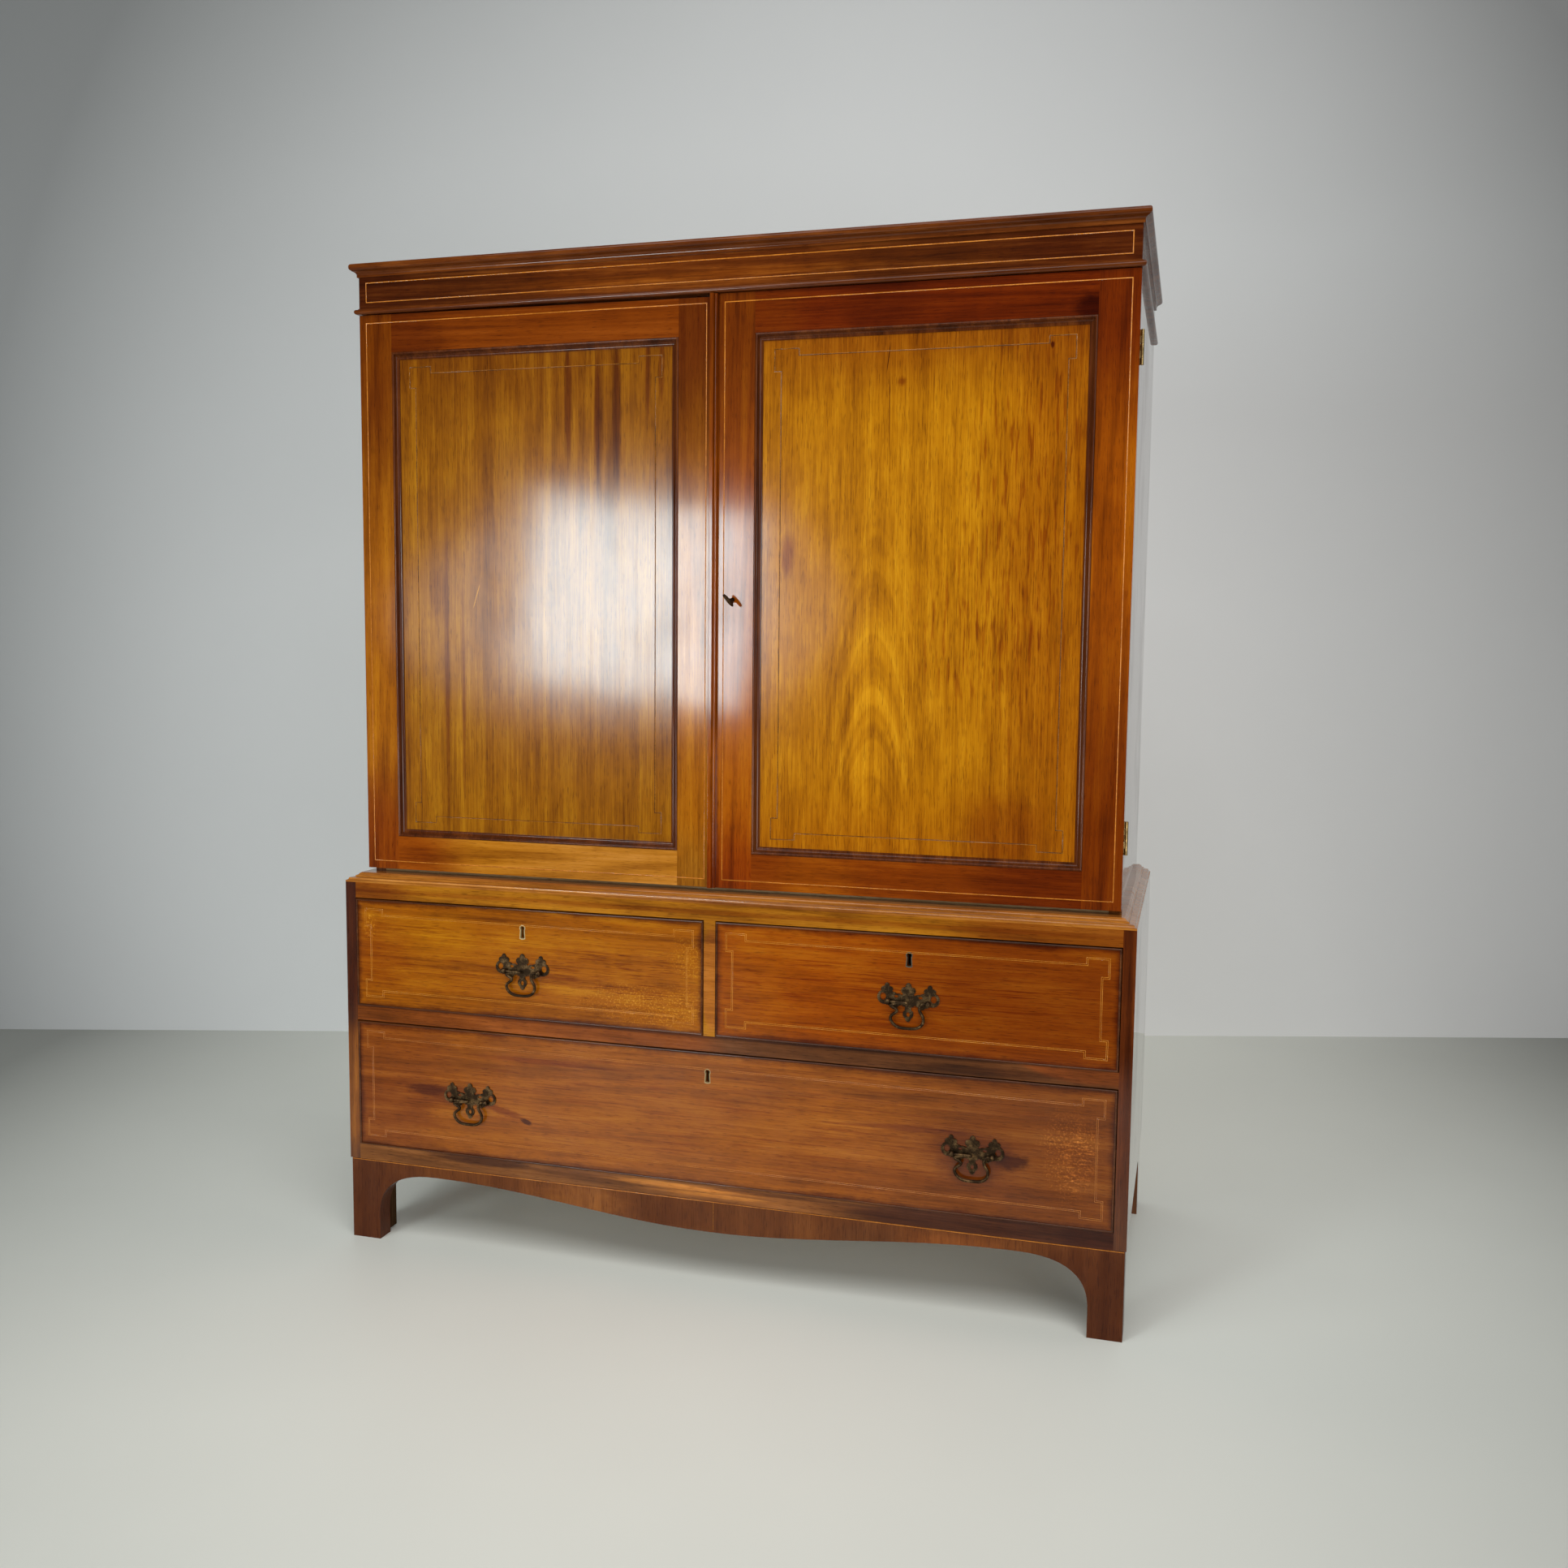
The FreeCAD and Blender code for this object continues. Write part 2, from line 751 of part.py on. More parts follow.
def meeting_bead():
    """Bead planted down the right door's meeting edge: a flat, a quirk and a round."""
    width = meeting_bead_width
    proud = meeting_bead_proud
    quirk = meeting_bead_quirk
    round_u = width - meeting_bead_round
    round_v = proud - meeting_bead_round / 2
    steps = [
        (0.0, 0.0),
        (width, 0.0),
        (width, round_v),
        (round_u, round_v, 0.5),
        (round_u, round_v - quirk),
        (round_u - quirk, proud - quirk),
        (round_u - 2 * quirk, proud),
        (quirk, proud),
        (0.0, proud - quirk, quarter_bulge),
    ]
    face = outline(steps, lambda u, v: V(meeting_bead_x + u, door_y - v, door_z))
    return face.extrude(V(0, 0, door_top_z - door_z))


def door_keyhole(y0, y1):
    """Space for the key between two depths: a round hole with a slot below it."""
    hole = rod(V(key_x, y0, key_z + keyhole_rise), V(0, 1, 0), y1 - y0, keyhole_radius)
    slot_half = key_bit_thickness / 2 + key_clearance
    slot = block(
        key_x - slot_half,
        key_x + slot_half,
        y0,
        y1,
        key_z - key_bit_reach - key_clearance,
        key_z,
    )
    return fused([hole, slot])


def bolt_bar(x0, x1, clearance):
    """Bolt-shaped bar, or with a clearance the space for it."""
    half_height = bolt_height / 2 + clearance
    half_thickness = bolt_thickness / 2 + clearance
    return block(
        x0,
        x1,
        bolt_y - half_thickness,
        bolt_y + half_thickness,
        key_z - half_height,
        key_z + half_height,
    )


def lock_case():
    """Hollow mortise lock case with openings for the bolt and the key."""
    half = lock_height / 2
    body = block(right_door_x, lock_x1, lock_y0, lock_y1, key_z - half, key_z + half)
    hollow = block(
        right_door_x + lock_wall,
        lock_x1 - lock_wall,
        lock_y0 + lock_wall,
        lock_y1 - lock_wall,
        key_z - half + lock_wall,
        key_z + half - lock_wall,
    )
    mouth = bolt_bar(right_door_x, bolt_x1, bolt_clearance)
    keyway = door_keyhole(lock_y0, lock_y0 + lock_wall)
    return body.cut(hollow).cut(mouth).cut(keyway)


def door_key():
    """Key with an oval bow, a collar, a shank and a bit, standing part turned."""
    bow_y = door_y - key_bow_reach + key_bow_half_length
    shank_y0 = bow_y + key_bow_half_length - key_bow_bar / 2
    shank_y1 = lock_y1 - lock_wall - key_end_gap
    shank = rod(V(key_x, shank_y0, key_z), V(0, 1, 0), shank_y1 - shank_y0, key_radius)
    collar_y = shank_y0 + 2 * key_radius
    collar = rod(V(key_x, collar_y, key_z), V(0, 1, 0), key_radius, 1.5 * key_radius)
    half = key_bow_thickness / 2
    ring = oval_disc(key_bow_half_length, key_bow_half_width, bow_y, half)
    eye = oval_disc(
        key_bow_half_length - key_bow_bar, key_bow_half_width - key_bow_bar, bow_y, half
    )
    bit_half = key_bit_thickness / 2
    bit_y0 = lock_y0 + lock_wall + key_end_gap
    bit = block(
        key_x - bit_half, key_x + bit_half, bit_y0, shank_y1 - key_end_gap, key_z - key_bit_reach, key_z
    )
    whole = fused([shank, collar, ring.cut(eye), bit])
    whole.rotate(V(key_x, 0, key_z), V(0, 1, 0), -key_turned)
    return whole


def oval_disc(half_length, half_width, centre_y, half_thickness):
    """Oval disc in the plane of the key's axis and the upright."""
    centre = V(key_x - half_thickness, centre_y, key_z)
    if half_length >= half_width:
        axis = V(0, 1, 0)
        major, minor = half_length, half_width
    else:
        axis = V(0, 0, 1)
        major, minor = half_width, half_length
    oval = Part.Ellipse(V(0, 0, 0), major, minor)
    edge = oval.toShape()
    face = Part.Face(Part.Wire([edge]))
    turn = FreeCAD.Matrix()
    cross = V(1, 0, 0).cross(axis)
    turn.A11, turn.A21, turn.A31 = axis.x, axis.y, axis.z
    turn.A12, turn.A22, turn.A32 = cross.x, cross.y, cross.z
    turn.A13, turn.A23, turn.A33 = 1.0, 0.0, 0.0
    turn.A14, turn.A24, turn.A34 = centre.x, centre.y, centre.z
    face = face.transformGeometry(turn)
    return face.extrude(V(2 * half_thickness, 0, 0))


def flush_bolt(end_z, direction):
    """Round bolt with a thumb knob, its nose just inside the door's end."""
    nose = end_z - direction * flush_bolt_hidden
    axis = V(0, 0, -direction)
    bar = rod(V(flush_bolt_x, flush_bolt_y, nose), axis, flush_bolt_length, flush_bolt_radius)
    knob_z = end_z - direction * flush_knob_distance
    knob_length = door_back_y + flush_knob_proud - flush_bolt_y
    knob = rod(V(flush_bolt_x, flush_bolt_y, knob_z), V(0, 1, 0), knob_length, flush_knob_radius)
    return fused([bar, knob])


def flush_plate(end_z, direction):
    """Plate let into the door's back, slotted for the thumb knob."""
    near = end_z - direction * flush_plate_margin
    far = near - direction * flush_plate_length
    z0, z1 = min(near, far), max(near, far)
    half = flush_plate_width / 2
    plate = block(
        flush_bolt_x - half, flush_bolt_x + half, door_back_y - flush_plate_thickness, door_back_y, z0, z1
    )
    clear = flush_knob_radius + bolt_clearance
    rest = end_z - direction * flush_knob_distance
    thrown = rest + direction * flush_bolt_throw
    slot = block(
        flush_bolt_x - clear,
        flush_bolt_x + clear,
        door_back_y - flush_plate_thickness,
        door_back_y,
        min(rest, thrown) - clear,
        max(rest, thrown) + clear,
    )
    return plate, plate.cut(slot)


def flush_channel(end_z, direction):
    """Space in the stile for a flush bolt, reaching the door's end."""
    reach = flush_bolt_length + flush_bolt_hidden + bolt_clearance
    overrun = left_door_drop + door_top_gap
    start = V(flush_bolt_x, flush_bolt_y, end_z + direction * overrun)
    bore = rod(start, V(0, 0, -direction), reach + overrun, socket_radius)
    clear = flush_knob_radius + bolt_clearance
    knob_z = end_z - direction * flush_knob_distance
    z0 = min(knob_z, knob_z + direction * flush_bolt_throw) - clear
    z1 = max(knob_z, knob_z + direction * flush_bolt_throw) + clear
    window = block(flush_bolt_x - clear, flush_bolt_x + clear, flush_bolt_y, door_back_y, z0, z1)
    return bore, window


def left_top_at(x):
    """Height of the left door's top edge, which falls towards the meeting edge."""
    share = (x + upper_half) / (left_door_x + upper_half)
    return door_top_z - left_door_drop * share


def build_left_door():
    """Frame, panel, moulding, hinge leaves and flush bolts of the left door."""
    stiles, rails, panel, opening = door_frame(
        -upper_half, left_door_x, outer_stile, left_meeting_stile
    )
    fall = [
        (-upper_half, door_top_z),
        (left_door_x, door_top_z - left_door_drop),
        (left_door_x, door_top_z),
    ]
    wedge = prism_along_y(fall, door_y, door_back_y)
    stiles = [stile.cut(wedge) for stile in stiles]
    rails = [rail.cut(wedge) for rail in rails]
    leaves = [mirrored(leaf) for leaf in door_leaves]
    for leaf in leaves:
        stiles[0] = stiles[0].cut(leaf)
    upper_end = left_top_at(flush_bolt_x)
    meeting = stiles[1]
    plates = []
    for end_z, direction in ((upper_end, 1), (door_z, -1)):
        blank, plate = flush_plate(end_z, direction)
        bore, window = flush_channel(end_z, direction)
        meeting = meeting.cut(blank).cut(bore).cut(window)
        plates.append(plate)
    keep = bolt_bar(left_door_x - bolt_throw - keep_depth_gap, left_door_x, 2 * bolt_clearance)
    stiles[1] = meeting.cut(keep)
    save("door_left_stiles", stiles)
    save("door_left_rails", rails)
    save("door_left_panel", [panel])
    save("door_left_moulding", panel_moulding(opening))
    save("door_left_brasses", leaves + plates)
    save("flush_bolt_top", [flush_bolt(upper_end, 1)])
    save("flush_bolt_bottom", [flush_bolt(door_z, -1)])


def build_right_door():
    """Frame, panel, moulding, hinge leaves, meeting bead, lock and key of the right door."""
    stiles, rails, panel, opening = door_frame(
        right_door_x, upper_half, right_meeting_stile, outer_stile
    )
    for leaf in door_leaves:
        stiles[1] = stiles[1].cut(leaf)
    half = lock_height / 2
    mortise = block(right_door_x, lock_x1, lock_y0, lock_y1, key_z - half, key_z + half)
    keyway = door_keyhole(door_y, lock_y0)
    stiles[0] = stiles[0].cut(mortise).cut(keyway)
    save("door_right_stiles", stiles)
    save("door_right_rails", rails)
    save("door_right_panel", [panel])
    save("door_right_moulding", panel_moulding(opening))
    save("door_right_hinge_leaves", door_leaves)
    save("meeting_bead", [meeting_bead()])
    save("lock_case", [lock_case()])
    save("lock_bolt", [bolt_bar(bolt_x0, bolt_x1, 0.0)])
    save("door_key", [door_key()])


# ---------------------------------------------------------------- drawers
def tails(x0, x1, root_y, tip_y, z0, z1):
    """Dovetail tails that widen from root_y to tip_y."""
    count = max(2, round((z1 - z0) / tail_pitch))
    pitch = (z1 - z0) / count
    narrow = pitch * 0.3
    wide = narrow + tail_flare
    cut = []
    for index in range(count):
        mid = z0 + (index + 0.5) * pitch
        steps = [
            (root_y, mid - narrow),
            (tip_y, mid - wide),
            (tip_y, mid + wide),
            (root_y, mid + narrow),
        ]
        face = outline(steps, lambda y, z: V(x0, y, z))
        cut.append(face.extrude(V(x1 - x0, 0, 0)))
    return cut


def plate_disc(x, z, half_width, half_height=None):
    """Round or oval disc as thick as a backplate, lying on the plane y = 0."""
    radius = half_width
    disc = rod(V(0, 0, 0), V(0, -1, 0), plate_thickness, radius)
    if half_height:
        stretch = FreeCAD.Matrix()
        stretch.A33 = half_height / half_width
        disc = disc.transformGeometry(stretch)
    return moved(disc, x, 0, z)


def leaf_finial(x, top_z, size):
    """Leaf finial as wide as two sizes: a neck, two side lobes and a tip."""
    return [
        plate_disc(x, top_z - 1.55 * size, 0.66 * size, 0.9 * size),
        plate_disc(x - 0.54 * size, top_z - 1.1 * size, 0.48 * size),
        plate_disc(x + 0.54 * size, top_z - 1.1 * size, 0.48 * size),
        plate_disc(x, top_z - 0.6 * size, 0.42 * size, 0.6 * size),
    ]


def backplate():
    """Pierced backplate about the middle of its two posts."""
    half = handle_centres / 2
    body = [
        plate_disc(0, 0.08 * half, 0.36 * half, 0.45 * half),
        plate_disc(0, -0.36 * half, 0.2 * half),
        plate_disc(0, -0.6 * half, 0.26 * half),
        plate_disc(0, -0.82 * half, 0.13 * half, 0.17 * half),
    ]
    wing = [
        plate_disc(0.5 * half, 0.08 * half, 0.3 * half),
        plate_disc(0.82 * half, 0.1 * half, 0.36 * half),
        plate_disc(1.19 * half, 0.17 * half, 0.35 * half),
        plate_disc(0.66 * half, -0.16 * half, 0.2 * half),
    ]
    right = wing + leaf_finial(1.06 * half, 0.89 * half, 0.29 * half)
    lobes = body + leaf_finial(0, 0.94 * half, 0.35 * half)
    for lobe in right:
        lobes.extend(both_sides(lobe))
    piercings = [plate_disc(0, -0.62 * half, 0.09 * half, 0.12 * half)]
    for hole in (
        plate_disc(1.25 * half, 0.2 * half, 0.15 * half, 0.18 * half),
        plate_disc(0.6 * half, 0.24 * half, 0.11 * half, 0.07 * half),
        plate_disc(0.2 * half, -0.34 * half, 0.05 * half, 0.12 * half),
        plate_disc(half, 0, post_stem_radius),
    ):
        piercings.extend(both_sides(hole))
    return fused(lobes).cut(piercings[0].multiFuse(piercings[1:]))


def moved(shape, x, y, z):
    """A copy of the shape, shifted."""
    copy = shape.copy()
    copy.translate(V(x, y, z))
    return copy


def post():
    """Turned post with a ball head, bored across for the bail, about the bail's axis."""
    stem_end = -plate_thickness - post_reach
    steps = [
        (0.0, drawer_front_thickness + nut_length),
        (post_stem_radius, drawer_front_thickness + nut_length),
        (post_stem_radius, -plate_thickness),
        (post_collar_radius, -plate_thickness),
        (post_collar_radius, -plate_thickness - post_collar_length),
        (post_stem_radius, -plate_thickness - post_collar_length),
        (post_stem_radius, -post_reach + 0.5 * post_head_radius),
        (0.0, -post_reach + 0.5 * post_head_radius),
    ]
    stem = outline(steps, lambda r, y: V(r, y, 0)).revolve(V(0, 0, 0), V(0, 1, 0), 360)
    head = Part.makeSphere(post_head_radius, V(0, -post_reach, 0))
    whole = fused([stem, head])
    bore_radius = bail_pin_radius + bail_pin_clearance
    bore = rod(V(-post_head_radius, -post_reach, 0), V(1, 0, 0), 2 * post_head_radius, bore_radius)
    return whole.cut(bore)


def nut():
    """Six-sided nut behind the drawer front."""
    corners = []
    for index in range(6):
        angle = math.pi / 3 * index
        corners.append((nut_radius * math.cos(angle), nut_radius * math.sin(angle)))
    body = prism_along_y(corners, drawer_front_thickness, drawer_front_thickness + nut_length)
    hole = rod(V(0, drawer_front_thickness, 0), V(0, 1, 0), nut_length, post_stem_radius)
    return body.cut(hole)


def bail():
    """Swan-neck bail hanging from its pins, about the middle of the two posts."""
    half = handle_centres / 2
    neck_x = half - post_head_radius - 1.0
    points = [
        (neck_x, 0.0),
        (0.64 * half, -0.1 * half),
        (0.6 * half, -0.32 * half),
        (0.78 * half, -0.68 * half),
        (0.74 * half, -1.02 * half),
        (0.44 * half, -1.23 * half),
        (0.0, -1.27 * half),
    ]
    mirrored_points = [(-x, z) for x, z in reversed(points[:-1])]
    path_points = [V(x, -post_reach, z) for x, z in points + mirrored_points]
    curve = Part.BSplineCurve()
    curve.interpolate(Points=path_points, InitialTangent=V(-1, 0, 0), FinalTangent=V(-1, 0, 0))
    spine = Part.Wire([curve.toShape()])
    ring = Part.makeCircle(bail_radius, path_points[0], V(-1, 0, 0))
    bow = spine.makePipeShell([Part.Wire([ring])], True, False)
    pins = []
    for side in (1, -1):
        pin_length = 2 * post_head_radius
        start = V(side * neck_x, -post_reach, 0)
        pins.append(rod(start, V(side, 0, 0), pin_length, bail_pin_radius))
    return fused([bow] + pins)


def escutcheon_shape(margin, y0, y1):
    """Thread escutcheon's outline as a solid, a margin inside its outer edge."""
    waist = escutcheon_waist - margin
    foot = escutcheon_foot - margin
    foot_z = margin - escutcheon_slot_length
    steps = [(-waist, 0), (-foot, foot_z), (foot, foot_z, -0.12), (waist, 0)]
    hole = rod(V(0, y0, 0), V(0, 1, 0), y1 - y0, escutcheon_radius - margin)
    return fused([hole, prism_along_y(steps, y0, y1)])


handle_plate = backplate()
handle_post = post()
handle_nut = nut()
handle_bail = bail()


def build_drawer(name, x0, x1, opening_z, opening_height, handle_xs):
    """Front, dovetailed box, cockbead and fittings of one drawer."""
    z0 = opening_z + drawer_bottom_gap
    z1 = opening_z + opening_height - drawer_top_gap
    x0 = x0 + drawer_side_gap
    x1 = x1 - drawer_side_gap
    lock_x = (x0 + x1) / 2 + fitting_shift
    y_front_back = front_y + drawer_front_thickness
    y_end = front_y + drawer_length
    side_top = z1 - drawer_side_drop
    left_in = x0 + drawer_board
    right_in = x1 - drawer_board

    front = block(x0, x1, front_y, y_front_back, z0, z1)
    inset = cockbead_width
    field = block(
        x0 + inset, x1 - inset, front_y, front_y + cockbead_depth, z0 + inset, z1 - inset
    )
    rebate = block(x0, x1, front_y, front_y + cockbead_depth, z0, z1).cut(field)
    front = front.cut(rebate)
    nose = cockbead_proud - cockbead_width / 2
    bead = [
        (0.0, -cockbead_depth),
        (0.0, nose),
        (cockbead_width, nose, 0.5),
        (cockbead_width, -cockbead_depth),
    ]
    save(name + "_cockbead", mitred_frame(bead, x0, x1, z0, z1, front_y))

    bottom_z0 = z0 + drawer_bottom_height
    bottom_z1 = bottom_z0 + drawer_bottom_board
    bottom = block(
        left_in - drawer_groove,
        right_in + drawer_groove,
        y_front_back - drawer_groove,
        y_end,
        bottom_z0,
        bottom_z1,
    )
    sides = []
    back = block(x0, x1, y_end - drawer_board, y_end, bottom_z1, side_top)
    for side_x0, side_x1 in ((x0, left_in), (right_in, x1)):
        front_tails = tails(side_x0, side_x1, y_front_back, y_front_back - tail_depth, z0, side_top)
        back_tails = tails(side_x0, side_x1, y_end - drawer_board, y_end, bottom_z1, side_top)
        body = block(side_x0, side_x1, y_front_back, y_end - drawer_board, z0, side_top)
        side = fused([body] + front_tails + back_tails)
        sides.append(side.cut(bottom))
        front = front.cut(front_tails[0].multiFuse(front_tails[1:]))
        back = back.cut(back_tails[0].multiFuse(back_tails[1:]))
    front = front.cut(bottom)

    hole_z = z1 - keyhole_drop
    thread_cut = moved(escutcheon_shape(0.0, 0.0, escutcheon_depth), lock_x, front_y, hole_z)
    keyway = moved(
        escutcheon_shape(escutcheon_wall, 0.0, drawer_front_thickness), lock_x, front_y, hole_z
    )
    lock_top = z1 - cockbead_width
    lock_y0 = y_front_back - drawer_lock_depth
    lock_half = drawer_lock_width / 2
    lock_body = block(
        lock_x - lock_half,
        lock_x + lock_half,
        lock_y0,
        y_front_back,
        lock_top - drawer_lock_height,
        lock_top,
    )
    front = front.cut(thread_cut).cut(keyway).cut(lock_body)
    escutcheon = thread_cut.cut(keyway)
    lock = lock_body.cut(keyway)

    handle_z = (opening_z + opening_height / 2) - handle_drop
    fittings = [escutcheon, lock]
    for handle_x in handle_xs:
        fittings.append(moved(handle_plate, handle_x, front_y, handle_z))
        for side in (-1, 1):
            post_x = handle_x + side * handle_centres / 2
            fittings.append(moved(handle_post, post_x, front_y, handle_z))
            fittings.append(moved(handle_nut, post_x, front_y, handle_z))
            shank = rod(
                V(post_x, front_y, handle_z), V(0, 1, 0), drawer_front_thickness, post_stem_radius
            )
            front = front.cut(shank)
    save(name + "_front", [front])
    save(name + "_box", sides + [back, bottom])
    save(name + "_fittings", fittings)
    for index, handle_x in enumerate(handle_xs):
        suffix = "" if len(handle_xs) == 1 else ("_left", "_right")[index]
        save(name + "_bail" + suffix, [moved(handle_bail, handle_x, front_y, handle_z)])


def build_base():
    """Case, apron, feet and inner work of the base."""
    side = block(base_inner, base_half, front_y, back_y, foot_height, base_top_z)
    save("base_side_right", [side])
    save("base_side_left", [mirrored(side)])
    save("base_back", back_boards(base_inner, foot_height, base_top_z, 4))
    rail_y1 = front_y + rail_depth
    top_board = block(-base_inner, base_inner, rail_y1, inner_back_y, base_top_z - board, base_top_z)
    save("base_top_board", [top_board])
    save("base_top_rail", [block(-base_inner, base_inner, front_y, rail_y1, top_rail_z, base_top_z)])
    save("drawer_rail", [block(-base_inner, base_inner, front_y, rail_y1, mid_rail_z, short_z)])
    half = divider_thickness / 2
    save("drawer_divider", [block(-half, half, front_y, rail_y1, short_z, top_rail_z)])
    save(
        "base_bottom_rail", [block(-base_inner, base_inner, front_y, rail_y1, bottom_rail_z, long_z)]
    )
    save("dust_boards", dust_boards())
    save("drawer_runners", base_runners())
    save("apron_front", [front_apron()])
    save("apron_sides", both_sides(side_apron()))
    save("foot_blocks", foot_blocks())
    save("waist_moulding", waist_moulding())


def build_upper_case():
    """Case, cornice and tray bearers of the upper part."""
    side = block(upper_inner, upper_half, case_y, back_y, base_top_z, top_board_z)
    for leaf in case_leaves:
        side = side.cut(leaf)
    save("upper_side_right", [side])
    save("upper_side_left", [mirrored(side)])
    save("upper_top", [block(-upper_half, upper_half, door_y, back_y, top_board_z, total_height)])
    floor_z = floor_board_top_z - board
    floor = block(-upper_inner, upper_inner, case_y, inner_back_y, floor_z, floor_board_top_z)
    save("upper_bottom", [floor])
    save("upper_back", back_boards(upper_inner, base_top_z, top_board_z, 6))
    save("tray_bearers", bearers())
    save("frieze_board", frieze())
    save("crown_moulding", crown_moulding())
    save("frieze_bead", frieze_bead())
    save("hinge_case_leaves", case_leaves + [mirrored(leaf) for leaf in case_leaves])


def main():
    """Build every node of the press."""
    os.makedirs("parts", exist_ok=True)
    build_base()
    build_upper_case()
    build_left_door()
    build_right_door()
    half = divider_thickness / 2
    short_mid = (half + base_inner) / 2
    build_drawer(
        "drawer_left", -base_inner, -half, short_z, short_opening_height, [fitting_shift - short_mid]
    )
    build_drawer(
        "drawer_right", half, base_inner, short_z, short_opening_height, [fitting_shift + short_mid]
    )
    long_x = long_handle_share * base_inner
    build_drawer(
        "drawer_long", -base_inner, base_inner, long_z, long_opening_height, [-long_x, long_x]
    )
    for index in range(tray_count):
        save("tray_" + str(index + 1), tray(index))


main()
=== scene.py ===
"""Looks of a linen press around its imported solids: finishes, inlaid lines, screws, studio and camera.

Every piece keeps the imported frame: metres, floor at z 0, front towards -y, +x to the right.
"""

import logging
import math
from collections.abc import Sequence
from dataclasses import dataclass, field, replace
from enum import Enum
from functools import cache

import bmesh
import bpy
from mathutils import Matrix, Vector


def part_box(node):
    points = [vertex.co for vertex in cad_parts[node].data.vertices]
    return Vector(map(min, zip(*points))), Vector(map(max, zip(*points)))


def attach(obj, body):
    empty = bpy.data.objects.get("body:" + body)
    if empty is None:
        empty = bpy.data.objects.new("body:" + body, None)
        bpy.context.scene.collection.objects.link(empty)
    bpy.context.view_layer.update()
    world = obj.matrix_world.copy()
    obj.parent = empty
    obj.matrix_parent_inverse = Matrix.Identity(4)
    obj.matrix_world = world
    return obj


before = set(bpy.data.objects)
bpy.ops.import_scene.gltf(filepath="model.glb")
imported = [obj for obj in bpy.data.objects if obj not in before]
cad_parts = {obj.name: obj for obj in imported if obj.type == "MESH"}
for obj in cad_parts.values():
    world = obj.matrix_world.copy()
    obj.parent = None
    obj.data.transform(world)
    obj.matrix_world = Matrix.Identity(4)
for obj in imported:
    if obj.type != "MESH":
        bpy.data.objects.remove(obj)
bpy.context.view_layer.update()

MILLIMETRE = 0.001
LOG = logging.getLogger("linen_press")

Colour = tuple[float, float, float]
Point = tuple[float, float, float]
Spot = tuple[float, float]

WHITE: Colour = (1.0, 1.0, 1.0)


def rgba(colour: Colour) -> tuple[float, float, float, float]:
    """A colour with full alpha."""
    return (*colour, 1.0)


# ---------------------------------------------------------------- node trees


class NodeSheet:
    """A node tree and the one way to add a node to it."""

    def __init__(self, tree: bpy.types.NodeTree) -> None:
        """Empties a tree."""
        self.tree = tree
        self.tree.nodes.clear()

    def node(self, kind: str, settings: dict | None = None, inputs: dict | None = None) -> bpy.types.Node:
        """Adds a node, sets it up and feeds its sockets.

        Args:
            kind: The node's type name.
            settings: Its own settings, or "stops" for a ramp, set before the sockets.
            inputs: What each socket takes, by name or number.

        Returns:
            The node.
        """
        made = self.tree.nodes.new(kind)
        for key, value in (settings or {}).items():
            if key == "stops":
                self._set_stops(made.color_ramp, value)
            else:
                setattr(made, key, value)
        for key, value in (inputs or {}).items():
            self._feed(made.inputs[key], value)
        return made

    @staticmethod
    def _set_stops(ramp: bpy.types.ColorRamp, stops: Sequence[tuple[float, Colour]]) -> None:
        """Gives a ramp its stops.

        Args:
            ramp: The ramp.
            stops: Place and colour of each stop, in rising order.
        """
        while len(ramp.elements) < len(stops):
            ramp.elements.new(1.0)
        for element, (place, colour) in zip(ramp.elements, stops):
            element.position = place
            element.color = rgba(colour)

    def _feed(self, socket: bpy.types.NodeSocket, value: "Feed") -> None:
        """Links or sets one socket.

        Args:
            socket: The input socket.
            value: A signal, a socket, a node that gives one result, a number, a vector or a colour.
        """
        if isinstance(value, Signal):
            value = value.socket
        elif isinstance(value, bpy.types.Node):
            value = value.outputs[0]
        if isinstance(value, bpy.types.NodeSocket):
            self.tree.links.new(value, socket)
        elif isinstance(value, tuple) and socket.type == "RGBA":
            socket.default_value = rgba(value)
        else:
            socket.default_value = value

    def maths(self, operation: str, *values: "Value", clamp: bool = False) -> "Signal":
        """One Math node's result, kept between 0 and 1 if asked."""
        settings = {"operation": operation, "use_clamp": clamp}
        return Signal(self, self.node("ShaderNodeMath", settings, dict(enumerate(values))).outputs[0])

    def vector(self, x: "Value", y: "Value", z: "Value") -> bpy.types.NodeSocket:
        """Three values joined into a vector."""
        return self.node("ShaderNodeCombineXYZ", None, {0: x, 1: y, 2: z}).outputs[0]


# ----------------------------------------------------------------- sums of nodes


